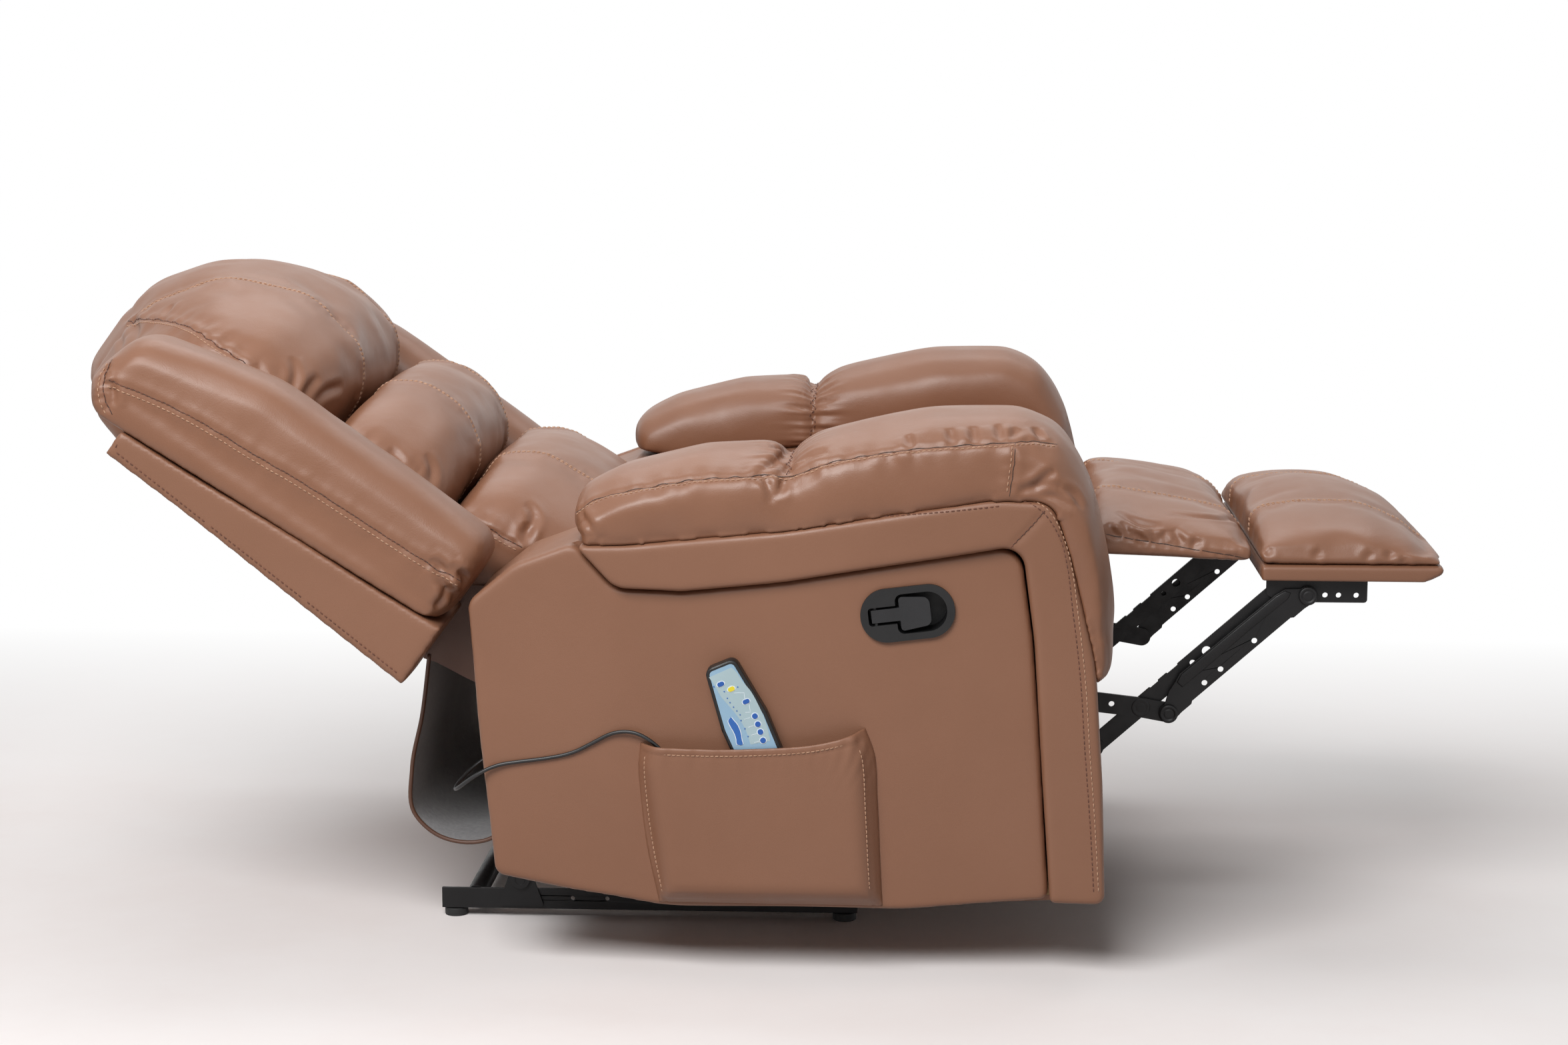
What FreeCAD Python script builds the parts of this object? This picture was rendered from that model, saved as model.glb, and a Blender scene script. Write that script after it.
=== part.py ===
import FreeCAD, Part
import math
import os

# A reclining massage armchair, stored fully reclined with its footrest out.
# Millimetres. +X is the way the sitter faces, +Z is up, -Y is the sitter's right.
# The origin is on the floor, below the middle of the chair.

# Arms and body
arm_rear_x = -300
arm_length = 742
arm_bottom_z = 80
arm_height = 575
arm_outer_y = 450
arm_inner_y = 270
band_depth = 36
panel_depth = 22
skin_gap = 0.3
skin_thickness = 6
board_thickness = 16
arm_pad_bulge = 3
panel_crown = 3
band_crown = 4.2
# Rim of a padded board: shares of its crown in from the outer face, and drawn in there
rim_shares = [(1.6, 0), (0.6, 0.35), (0, 1.3)]

# Side outlines of the arm: shares of arm_length, of arm_height and, for the corner, of arm_height
panel_shares = [
    (0.038, 0.068, 0.02), (0.016, 0.365, 0.9), (0.0, 0.623, 0.03), (0.073, 0.699, 0.1),
    (0.164, 0.742, 0.026), (0.226, 0.652, 0.06), (0.333, 0.647, 0.1), (0.489, 0.668, 0.9),
    (0.849, 0.746, 0.046), (0.869, 0.557, 0.5), (0.898, 0.03, 0.014), (0.674, 0.003, 0.5),
    (0.306, 0.003, 0.5), (0.175, 0.033, 0.26),
]
band_inner_shares = [
    (0.167, 0.744, 0.006), (0.229, 0.657, 0.056), (0.333, 0.652, 0.1), (0.489, 0.673, 0.9),
    (0.853, 0.751, 0.042), (0.873, 0.557, 0.5), (0.902, 0.026, 0.006),
]
band_outer_shares = [
    (0.988, 0.023, 0.02), (0.98, 0.273, 0.5), (0.968, 0.511, 0.5), (0.927, 0.73, 0.2),
    (0.898, 0.838, 0.05), (0.809, 0.842, 0.26), (0.489, 0.776, 0.9), (0.249, 0.746, 0.5),
]
arm_rear_shares = [
    (0.167, 0.744, 0.02), (0.073, 0.699, 0.1), (0.0, 0.623, 0.03), (0.016, 0.365, 0.9),
    (0.038, 0.068, 0.02), (0.175, 0.033, 0.26), (0.306, 0.003, 0.5), (0.674, 0.003, 0.5),
]
pad_top_shares = [
    (0.977, 0.445, 0.016), (1.0, 0.475, 0.02), (0.9985, 0.575, 0.35), (0.982, 0.722, 0.26),
    (0.96, 0.862, 0.1), (0.914, 0.968, 0.087), (0.849, 1.003, 0.1), (0.714, 1.0, 0.26),
    (0.539, 0.953, 0.14), (0.493, 0.913, 0.012), (0.465, 0.934, 0.05), (0.361, 0.926, 0.17),
    (0.239, 0.887, 0.14), (0.155, 0.835, 0.06), (0.158, 0.756, 0.016),
]
# How much of the crown's inset each edge of the pad takes, from the puff's foot to the rear
pad_top_free = [0.3, 0.42, 0.42, 0.45, 0.8, 1, 1, 1, 1, 1, 1, 1, 1, 0.6]
# Crown across an arm pad: share of its width, inset as a share of pad_crown
pad_crown = 36
pad_crown_shares = [
    (0.006, 1.0), (0.04, 0.68), (0.12, 0.27), (0.27, 0.03), (0.5, 0.0), (0.71, 0.08),
    (0.86, 0.36), (0.95, 0.74), (0.994, 1.0),
]

# Seat
seat_rear_x = -88
seat_front_x = 424
seat_half_width = 268
seat_base_z = 389
seat_rise = 160
# Cushion outlines: share along, share of the thickness, corner as a share of the thickness,
# and how freely the corner is drawn in towards the cushion's sides.
# Draw shares: along, out, and the place along that the ends draw in to
seat_shares = [
    (0.0, 0.0, 0.03, 0), (0.045, 0.56, 0.14, 1), (0.42, 0.8, 0.6, 1), (0.78, 1.0, 0.9, 1),
    (1.0, 0.9, 0.28, 1), (1.0, 0.0, 0.03, 0),
]
seat_draw_shares = (0.02, 0.16, 0.5)
seat_rail_x = -122
seat_rail_length = 516
seat_rail_height = 55
seat_rail_thickness = 22
seat_side_y = 223
strap_width = 50
strap_thickness = 3
strap_pitch = 80
strap_count = 5
rear_board_x = -277
rear_board_thickness = 18
rear_board_bottom_z = 135
rear_board_height = 125

# Backrest: along is measured up the back from its hinge, out is measured towards the sitter
back_pivot_x = -205
back_pivot_z = 395
back_lean = 35
shell_low = 112
shell_length = 430
shell_rear_low_out = -147
shell_low_depth = 81
shell_top_depth = 32
shell_rear_slope_share = 0.06
shell_half_width = 424
shell_skin = 5
stile_width = 48
rail_width = 46
wing_proud = 3
wing_width = 125
cushion_gap = 2
wing_outer_y = shell_half_width + wing_proud
wing_inner_y = wing_outer_y - wing_width
cushion_half_width = wing_inner_y - cushion_gap
wing_overhang = 72
wing_length = shell_length + wing_overhang
wing_thickness = 136
wing_crown = 34
seam_half_pitch = 120
seam_half_width = 9
seam_draw_share = 0.12
seam_crown_share = 0.05
# Wing outline: shares of its length up the back, of its thickness and, for the corner, of that
wing_shares = [
    (0.0, 0.0, 0.15), (-0.005, 0.86, 0.24), (0.635, 1.0, 0.9), (0.955, 0.79, 0.36),
    (1.0, 0.27, 0.2), (0.96, 0.0, 0.13),
]
wing_free = [0.6, 0.9, 0.9, 0.7, 0.5, 0]
low_start = -26
low_length = 214
low_thickness = 198
low_shares = [
    (0.495, 0.0, 0.04, 0), (0.308, 0.39, 0.1, 0.35), (0.065, 0.6, 0.1, 1), (0.0, 0.8, 0.08, 1),
    (0.234, 1.0, 0.3, 1), (0.794, 0.99, 0.29, 1), (1.0, 0.82, 0.12, 1), (1.0, 0.0, 0.03, 0),
]
low_draw_shares = (0.12, 0.5, 0.5)
low_side_gap = 4
low_half_width = min(arm_inner_y - low_side_gap, cushion_half_width)
mid_length = 166
mid_thickness = 186
mid_shares = [
    (0.0, 0.0, 0.03, 0), (0.0, 0.78, 0.28, 1), (0.36, 1.03, 0.38, 1), (0.75, 1.03, 0.38, 1),
    (1.0, 0.88, 0.12, 1), (1.0, 0.0, 0.03, 0),
]
mid_draw_shares = (0.08, 0.55, 0.5)
head_hook_gap = 8.5
head_hook_share = 0.587
head_start = low_start + low_length + cushion_gap + mid_length + cushion_gap
head_length = (shell_low + shell_length + head_hook_gap - head_start) / head_hook_share
head_thickness = 200
head_shares = [
    (0.0, 0.0, 0.03, 0), (0.0, 0.66, 0.2, 1), (0.1, 0.93, 0.22, 1), (0.4, 1.05, 0.4, 1),
    (0.78, 0.85, 0.42, 1), (0.99, 0.4, 0.4, 1), (1.0, -0.2, 0.2, 1), (0.95, -0.3, 0.05, 1),
    (head_hook_share, -0.3, 0.02, 0), (head_hook_share, 0.0, 0.02, 0),
]
head_draw_shares = (0.5, 0.5, 0.35)
# Crown across a cushion: share of the half width, and how far it is drawn in there
cushion_crown_shares = [
    (0.5, 0.1), (0.65, 0.21), (0.78, 0.37), (0.88, 0.55), (0.95, 0.75), (0.985, 0.89), (1.0, 1.0),
]
motor_radius = 28
motor_depth = 14
motor_clearance = 0.3
motor_side_y = 95
motor_along_shares = {"low_cushion": 0.78, "mid_cushion": 0.5}
# Back bracket: shares of the way from the hinge to the shell, along and out, and for the corner
back_bracket_shares = [(-0.16, -0.07, 0.125), (0.09, 0.18, 0.125), (0.55, -0.61, 0.09)]
bracket_front_gap = 14

# Footrest, out level with the seat
board_rear_x = 622
board_length = 217
board_base_z = 440
footboard_thickness = 19.5
board_corner = 6
board_edge_corner = 2
foot_half_width = 256
foot_pad_rise = 63
foot_pad_shares = [
    (0.0, 0.0, 0.06, 0), (-0.03, 0.62, 0.2, 1), (0.03, 0.88, 0.2, 1), (0.25, 1.0, 0.6, 1),
    (0.6, 1.0, 0.7, 1), (0.84, 0.64, 0.5, 1), (1.02, 0.1, 0.08, 1), (1.0, 0.0, 0.02, 0),
]
foot_pad_draw_shares = (0.03, 0.6, 0.5)
calf_rear_x = seat_front_x + skin_gap
calf_length = 188
calf_base_z = 462
calf_rise = 82
calf_shares = [
    (0.0, 0.1, 0.08, 0), (0.0, 1.0, 0.24, 1), (0.5, 0.8, 0.9, 1), (0.9, 0.62, 0.3, 1),
    (1.0, 0.32, 0.14, 1), (1.0, 0.0, 0.04, 0),
]
calf_draw_shares = (0.0, 0.45, 0.5)

# Footrest linkage
link_thickness = 4
layer_gap = 0.5
plate_inner_y = 223
link_width = 24
bar_width = 26
pin_radius = 6
pin_clearance = 0.05
washer_radius = 11
washer_thickness = 2
crank_run = 195
crank_drop = 22
rear_joint_x = 647
rear_joint_z = 426
knee_x = 484
knee_z = 280
bracket_joint_run = 33
bracket_joint_drop = 6
rear_bar_tail = 75
bracket_front_run = 71
bracket_rear_run = 16
bracket_height = 28.8
bracket_corner = 4
bracket_top_corner = 1
bracket_hole_radius = 3.3
bracket_hole_runs = [21, 37, 58]
bar_hole_radius = 3.5
# Bar outlines: shares of the way between the pivots, and across as shares of bar_width
bar_end_share = 0.45
front_bar_shares = [
    (0.0, -0.42), (0.06, -0.36), (0.13, -0.36), (0.145, -0.27), (0.85, -0.27), (0.865, -0.36), (0.94, -0.36),
    (1.0, -0.42), (1.0, 0.42), (0.97, 0.65), (0.93, 0.92), (0.87, 1.0), (0.19, 1.08), (0.14, 0.92),
    (0.08, 0.77), (0.03, 0.5), (0.0, 0.42),
]
rear_bar_shares = [
    (-0.34, -0.42), (1.0, -0.42), (1.0, 0.42), (0.31, 0.42), (0.305, 0.36), (0.235, 0.36), (0.23, 0.42),
    (0.17, 0.42), (0.165, 0.36), (0.112, 0.36), (0.107, 0.42), (-0.34, 0.42),
]
# Holes: share of the way between the pivots, and radius as a share of bar_hole_radius
front_bar_hole_shares = [(0.261, 1.0), (0.377, 1.0), (0.619, 1.0)]
rear_bar_hole_shares = [(0.377, 1.0), (0.478, 1.6)]
lift_hole_share = 0.82
cross_tube_radius = 9
cross_tube_share = 0.42
bracket_flange = 34
bracket_rear_gap = 27

# Mechanism side plates: the steel left around each pivot, and the slope beside a tab
plate_margin = 20
tab_slope = 8
plate_corner_share = 0.7

# Base on the floor
rail_rear_x = -374
rail_length = 516
rail_flange = 21
rail_bottom_z = 11
rail_height = 26
rail_thickness = 4
foot_radius = 14.5
foot_height = 10
foot_stem_radius = 4
foot_head_radius = 6.4
foot_inset = 16
base_tube_radius = 12
base_tube_inset = 26
riser_width = 58
riser_top_z = 62
riser_foot_corner = 3
riser_head_corner = 10
swing_base_z = 50
swing_rear_x = -275
swing_front_x = 60
swing_length = 140
swing_lean = 23.75
rail_hole_radius = 2.75
rail_hole_pitch = 43
rail_hole_count = 3
rail_hole_start = 120
rail_hole_rise = 14

# Release handle in its recessed oval plate
handle_place_shares = (0.679, 0.612)
handle_x = arm_rear_x + handle_place_shares[0] * arm_length
handle_z = arm_bottom_z + handle_place_shares[1] * arm_height
handle_tilt = 7
bezel_length = 108
bezel_height = 62
bezel_proud = 5
cup_length = 98
cup_height = 54
cup_depth = 34
cup_floor = 3
finger_length = 58
finger_height = 46
finger_corner = 8
slot_height = 21
cup_wall = 4
paddle_length = 35
paddle_height = 40
paddle_thickness = 8
stem_length = 28
stem_height = 15
stem_wall = 2
stem_corner = 1
stem_overlap = 4
paddle_corner = 8
handle_pin_radius = 2.5
handle_sink = 2

# Side pocket and handset
pocket_shares = [
    (0.0, 0.78, 0.03), (0.011, 0.905, 0.01), (0.452, 0.9, 0.3), (0.76, 0.938, 0.3), (0.926, 1.0, 0.02),
    (0.96, 0.88, 0.05), (1.0, 0.0, 0.02), (0.085, 0.005, 0.03),
]
pocket_place_shares = (0.2615, 0.012)
pocket_x = arm_rear_x + pocket_place_shares[0] * arm_length
pocket_z = arm_bottom_z + pocket_place_shares[1] * arm_height
pocket_length = 283
pocket_height = 211
pocket_bulge = 25.4
pocket_leather = 2.4
pocket_draw_share = 0.9
# Where the pocket rounds over: share of its depth back from its face, and of its draw there
pocket_round_shares = (0.25, 0.5)
# How much of that draw and of the leather each edge takes: none along the open mouth
pocket_edge_shares = [1, 0, 0, 0, 1, 1, 1, 1]
# Which corners of the inner space are raised past the open mouth
pocket_mouth_shares = [0, 1, 1, 1, 1, 0, 0, 0]
handset_run = 96
handset_rise = 287
handset_top_x = pocket_x + handset_run
handset_top_z = pocket_z + handset_rise
handset_lean = 23
handset_length = 172
handset_thickness = 20
handset_gap = 0.4
handset_rim = 4
face_depth = 1.2
face_gap = 0.2
handset_width = 56
# Across as a share of the half width, down as a share of the length
handset_shares = [(0.66, 0.0, 0.34), (1.0, 0.42, 0.9), (0.96, 0.78, 0.9), (0.82, 1.0, 0.34)]
button_gap = 0.15
button_rise = 1.0
button_depth = 4
round_button_radius = 3.2
oval_button_length = 8
oval_button_height = 5
# Buttons: across from the handset's middle and down from its top, as shares of width and length
oval_button_shares = [(-0.13, 0.126), (0.03, 0.183), (0.207, 0.298)]
round_button_shares = [(0.254, 0.411), (0.243, 0.469), (0.229, 0.524), (0.209, 0.583)]

# Handset cord: the stretch between the handset's foot and the arm's rear edge
cord_radius = 2.25
cord_route = [
    (55.5, -448.5, 211.8), (62, -448.5, 196), (58, -448.6, 178), (40, -448.6, 165), (14, -448.3, 166),
    (-12, -447.8, 182), (-33, -447, 207), (-51, -446.3, 235), (-69, -446, 261), (-88, -445.4, 281),
    (-110, -444, 292), (-134, -441.2, 290), (-157, -440, 277), (-181, -439.4, 264), (-211, -439, 257.5),
    (-243, -439.2, 253.5), (-270, -441, 249.5), (-293, -444, 238), (-312, -439, 223), (-322, -421, 214),
    (-321, -399, 217), (-311, -380, 227), (-296, -368, 238), (-286.5, -364.5, 243),
]
cord_bend_share = 0.45

# Control box and release cable under the seat
box_x = -40
box_length = 120
box_width = 90
box_height = 42
cable_radius = 2.5
cable_hole_radius = 9
cable_hole_z = 270
cable_route = [
    (186, -401.2, 418), (186, -386, 414), (187, -366, 394), (190, -346, 360), (194, -330, 318),
    (197, -312, 287), (199, -294, 272), (199.5, -268, 268), (198, -247, 265.5), (195, -227.3, 265.5),
]

# Rear skirt hanging from the back's lower edge to the rear board: shares of the way in X from its
# foot on the board to its top on the shell, and of the drop between them, also for the bends
skirt_half_width = 266
skirt_thickness = 3
skirt_edge_inset = 7
skirt_edge_drop = 3.1
skirt_foot_share = 0.44
skirt_shares = [
    (1.0, 1.0, 0.0), (1.133, 0.51, 0.99), (1.292, 0.065, 0.594), (1.26, -0.327, 0.264),
    (0.973, -0.471, 0.264), (0.209, -0.458, 0.198), (0.007, -0.327, 0.132), (0.0, 0.0, 0.0),
]

cut_over = 10
# Corners: most of a side one may take, angles taken as straight or parallel, the same point
corner_reach_share = 0.49
straight_share = 0.9995
parallel_share = 0.02
same_point = 1e-6
# The share of half its height that a long oval's corners take
full_round_share = 0.999
vec = FreeCAD.Vector
nodes = {}


def rounded_wire(points, y):
    """A closed wire in the plane at y, through corners (x, z, corner radius)."""
    edges = []
    ends = []
    count = len(points)
    for i in range(count):
        x, z, radius = points[i]
        corner = vec(x, y, z)
        before = vec(points[i - 1][0], y, points[i - 1][1]) - corner
        after = vec(points[(i + 1) % count][0], y, points[(i + 1) % count][1]) - corner
        room = min(before.Length, after.Length)
        before.normalize()
        after.normalize()
        half = before.getAngle(after) / 2
        reach = radius / math.tan(half) if half > 0 else 0
        reach = min(reach, corner_reach_share * room)
        if reach <= 0 or half > math.pi / 2 * straight_share:
            ends.append((corner, corner, None))
            continue
        radius = reach * math.tan(half)
        middle = before + after
        middle.normalize()
        centre = corner + middle * (radius / math.sin(half))
        ends.append((corner + before * reach, corner + after * reach, centre - middle * radius))
    for i in range(count):
        start, end, middle = ends[i]
        if middle is not None:
            edges.append(Part.Arc(start, middle, end).toShape())
        following = ends[(i + 1) % count][0]
        if end.distanceToPoint(following) > same_point:
            edges.append(Part.LineSegment(end, following).toShape())
    return Part.Wire(edges)


def inset(points, depth, free):
    """Move each edge of an outline inwards by its free share of the depth."""
    count = len(points)
    turn = sum(
        points[i][0] * points[(i + 1) % count][1] - points[(i + 1) % count][0] * points[i][1]
        for i in range(count)
    )
    side = 1 if turn > 0 else -1
    lines = []
    for i in range(count):
        x0, z0, _ = points[i]
        x1, z1, _ = points[(i + 1) % count]
        length = math.hypot(x1 - x0, z1 - z0)
        dx, dz = (x1 - x0) / length, (z1 - z0) / length
        nx, nz = -dz * side, dx * side
        step = depth * free[i]
        lines.append((x0 + nx * step, z0 + nz * step, dx, dz))
    moved = []
    for i in range(count):
        ax, az, adx, adz = lines[i - 1]
        bx, bz, bdx, bdz = lines[i]
        cross = adx * bdz - adz * bdx
        radius = points[i][2]
        if abs(cross) < parallel_share:
            step = depth * (free[i - 1] + free[i]) / 2
            moved.append((points[i][0] - bdz * side * step, points[i][1] + bdx * side * step, radius))
            continue
        t = ((bx - ax) * bdz - (bz - az) * bdx) / cross
        step = depth * (free[i - 1] + free[i]) / 2
        smaller = max(radius - step, radius / 2) if cross * side > 0 else radius + step
        moved.append((ax + adx * t, az + adz * t, smaller))
    return moved


def slab(points, y0, y1):
    """An outline drawn out from y0 to y1."""
    face = Part.Face(rounded_wire(points, y0))
    return face.extrude(vec(0, y1 - y0, 0))


def solid_loft(wires):
    """A solid with straight sides from each wire to the next, facing outwards."""
    solid = Part.makeLoft(wires, True, True)
    return Part.Solid(solid.Shells[0].reversed()) if solid.Volume < 0 else solid


def crowned(points, free, stations):
    """A soft piece: its outline drawn in towards both sides, through (y, inset) stations."""
    return solid_loft([rounded_wire(inset(points, depth, free), y) for y, depth in stations])


def cushion(place, start, length, thickness, shares, draw_shares, half_width):
    """A cushion with a crown and two sewn channels, seated on the line where out is zero."""
    half = [(0, 0), (seam_half_pitch - seam_half_width, seam_crown_share),
            (seam_half_pitch, seam_draw_share), (seam_half_pitch + seam_half_width, seam_crown_share)]
    half += [(share * half_width, depth) for share, depth in cushion_crown_shares]
    stations = [(-y, depth) for y, depth in reversed(half) if y > 0] + half
    wires = []
    for y, depth in stations:
        points = []
        for a, b, c, free in shares:
            along = a + (draw_shares[2] - a) * depth * draw_shares[0] * free
            out = b * (1 - depth * draw_shares[1] * free)
            x, z = place(start + along * length, out * thickness)
            points.append((x, z, c * thickness * (1 - depth * draw_shares[1] * free)))
        wires.append(rounded_wire(points, y))
    return solid_loft(wires)


def arm_points(shares):
    """Arm outline shares as places."""
    return [
        (arm_rear_x + a * arm_length, arm_bottom_z + b * arm_height, c * arm_height)
        for a, b, c in shares
    ]


def back_place(along, out):
    """A place on the reclined back: along it from the hinge, and out towards the sitter."""
    lean = math.radians(back_lean)
    x = back_pivot_x - along * math.cos(lean) + out * math.sin(lean)
    z = back_pivot_z + along * math.sin(lean) + out * math.cos(lean)
    return x, z


def shell_rear_out(along):
    """How far out the shell's rear face is at a height up the back."""
    return shell_rear_low_out + (along - shell_low) * shell_rear_slope_share


def shell_front_slope():
    """How far the shell's front face falls back per length up the back."""
    return (shell_low_depth - shell_top_depth) / shell_length - shell_rear_slope_share


def shell_front_out(along):
    """How far out the shell's front face is, which the soft pieces sit on."""
    return shell_rear_low_out + shell_low_depth - (along - shell_low) * shell_front_slope()


def seated_place(along, out):
    """A place on a soft piece of the back, measured out from the shell's front face."""
    return back_place(along, shell_front_out(along) + skin_gap + out)


def cylinder(radius, x, z, y0, y1):
    """A round bar along Y."""
    return Part.makeCylinder(radius, y1 - y0, vec(x, y0, z), vec(0, 1, 0))


def both_sides(shape):
    """A piece on the sitter's left together with its mirror image on the right."""
    return Part.makeCompound([shape, mirrored(shape)])


def mirrored(shape):
    """The same piece on the other side of the chair."""
    return shape.mirror(vec(0, 0, 0), vec(0, 1, 0))


def bar(x0, z0, x1, z1, width, y0, y1):
    """A flat bar with round ends between two pivots."""
    length = math.hypot(x1 - x0, z1 - z0)
    nx, nz = -(z1 - z0) / length * width / 2, (x1 - x0) / length * width / 2
    body = Part.Face(Part.makePolygon([
        vec(x0 + nx, y0, z0 + nz), vec(x1 + nx, y0, z1 + nz),
        vec(x1 - nx, y0, z1 - nz), vec(x0 - nx, y0, z0 - nz), vec(x0 + nx, y0, z0 + nz),
    ])).extrude(vec(0, y1 - y0, 0))
    ends = [cylinder(width / 2, x0, z0, y0, y1), cylinder(width / 2, x1, z1, y0, y1)]
    return body.fuse(ends).removeSplitter()


def tube_path(route):
    """Straight runs joined by tangent arcs, each arc as large as its two runs allow."""
    spots = [vec(*p) for p in route]
    edges = []
    radii = []
    at = spots[0]
    for i in range(1, len(spots) - 1):
        before = spots[i - 1] - spots[i]
        after = spots[i + 1] - spots[i]
        reach = cord_bend_share * min(before.Length, after.Length)
        before.normalize()
        after.normalize()
        half = before.getAngle(after) / 2
        radius = reach * math.tan(half)
        radii.append(radius)
        middle = before + after
        middle.normalize()
        crest = spots[i] + middle * (radius / math.sin(half) - radius)
        start = spots[i] + before * reach
        end = spots[i] + after * reach
        edges.append(Part.LineSegment(at, start).toShape())
        edges.append(Part.Arc(start, crest, end).toShape())
        at = end
    edges.append(Part.LineSegment(at, spots[-1]).toShape())
    return Part.Wire(edges), radii


def tube(route, radius, name):
    """A round cord along a route, with its radii and volume printed."""
    path, radii = tube_path(route)
    first = vec(*route[0])
    way = vec(*route[1]) - first
    ring = Part.Wire(Part.makeCircle(radius, first, way))
    solid = path.makePipeShell([ring], True, False)
    expected = math.pi * radius ** 2 * path.Length
    print(name, "length", round(path.Length, 1), "least radius", round(min(radii), 1),
          "radii", [round(r) for r in radii], "volume share", round(solid.Volume / expected, 4))
    return solid


# Places in Y of the linkage's layers, from the inside outwards
rear_bar_y = plate_inner_y + link_thickness + layer_gap
link_y = rear_bar_y + link_thickness + layer_gap
front_bar_y = link_y + link_thickness + layer_gap
swing_y = plate_inner_y - layer_gap - link_thickness
riser_y = swing_y - layer_gap - link_thickness
front_y_end = front_bar_y + link_thickness + washer_thickness + layer_gap

# Pivots of the footrest linkage: every pair of opposite bars is equal and parallel
crank_x = knee_x - crank_run
crank_z = knee_z + crank_drop
toe_x = knee_x + bracket_joint_run
toe_z = knee_z - bracket_joint_drop
front_joint_x = rear_joint_x + bracket_joint_run
front_joint_z = rear_joint_z - bracket_joint_drop
bar_run = math.hypot(rear_joint_x - knee_x, rear_joint_z - knee_z)
tail_x = knee_x - rear_bar_tail * (rear_joint_x - knee_x) / bar_run
tail_z = knee_z - rear_bar_tail * (rear_joint_z - knee_z) / bar_run
control_x = tail_x - crank_run
control_z = tail_z + crank_drop
swing_dx = swing_length * math.sin(math.radians(swing_lean))
swing_dz = swing_length * math.cos(math.radians(swing_lean))
swing_places = {"rear": swing_rear_x, "front": swing_front_x}


def padded_board(points, free, outer_y, depth, crown):
    """A padded board: flat inside, its outer face drawn in a little at the rim."""
    stations = [(outer_y - depth, 0)]
    stations += [(outer_y - crown * down_share, crown * in_share) for down_share, in_share in rim_shares]
    return crowned(points, free, stations)


def make_arms():
    silhouette = arm_points(band_outer_shares + arm_rear_shares)
    every = [1] * len(silhouette)
    inner_line = inset(silhouette, skin_thickness, every)
    frame_line = inset(silhouette, skin_thickness + skin_gap, every)
    hollow_line = inset(silhouette, skin_thickness + board_thickness, every)
    side_y = arm_outer_y - band_depth
    skin = slab(silhouette, arm_inner_y, side_y - skin_gap)
    skin = skin.cut(slab(inner_line, arm_inner_y + skin_thickness, side_y + cut_over))
    frame_y = arm_inner_y + skin_thickness + skin_gap
    frame = slab(frame_line, frame_y, side_y - skin_gap)
    frame = frame.cut(slab(hollow_line, frame_y + board_thickness, side_y + cut_over))
    panel = arm_points(panel_shares)
    panel_free = [1] * len(panel)
    panel_solid = padded_board(panel, panel_free, side_y + panel_depth, panel_depth, panel_crown)
    band = arm_points(band_inner_shares + band_outer_shares)
    band_free = [0.8] * len(band)
    band_solid = padded_board(band, band_free, arm_outer_y, band_depth, band_crown)
    seat_line = arm_points(list(reversed(band_outer_shares[2:])))
    lift = skin_gap
    seat_line = [(x + lift, z + lift, r) for x, z, r in seat_line]
    pad = seat_line + arm_points(pad_top_shares)
    pad_free = [0] * len(seat_line) + pad_top_free + [0]
    pad_free = pad_free[:len(pad)]
    width = arm_outer_y + arm_pad_bulge - arm_inner_y
    stations = [(arm_inner_y + share * width, inset_share * pad_crown)
                for share, inset_share in pad_crown_shares]
    pad_solid = crowned(pad, pad_free, stations)
    hole = cylinder(cable_hole_radius, cable_route[-3][0], cable_hole_z, -side_y, -plate_inner_y - cut_over)
    for side in ("left", "right"):
        place = mirrored if side == "right" else (lambda s: s)
        pieces = {"arm_skin": skin, "arm_frame": frame, "side_panel": panel_solid,
                  "arm_band": band_solid, "arm_pad": pad_solid}
        for name, shape in pieces.items():
            solid = place(shape)
            if side == "right" and name in ("arm_skin", "arm_frame"):
                solid = solid.cut(hole)
            if side == "right" and name == "side_panel":
                solid = solid.cut(handle_slab(cup_length + 2 * skin_gap, cup_height + 2 * skin_gap,
                                              side_y - cut_over, arm_outer_y + cut_over))
            nodes[name + "_" + side] = solid


def handle_place(shape):
    """Turn and move a piece of the handle, drawn about the origin in the XZ plane."""
    shape.rotate(vec(0, 0, 0), vec(0, -1, 0), handle_tilt)
    shape.translate(vec(handle_x, 0, handle_z))
    return shape


def stadium(length, height, y0, y1):
    """A long oval plate between two depths outwards on the sitter's right."""
    half = length / 2
    rise = height / 2
    corner = rise * full_round_share
    points = [(-half, -rise, corner), (half, -rise, corner), (half, rise, corner), (-half, rise, corner)]
    return slab(points, -y1, -y0)


def handle_slab(length, height, y0, y1):
    """A long oval block through the right arm at the handle."""
    return handle_place(stadium(length, height, y0, y1))


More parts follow.
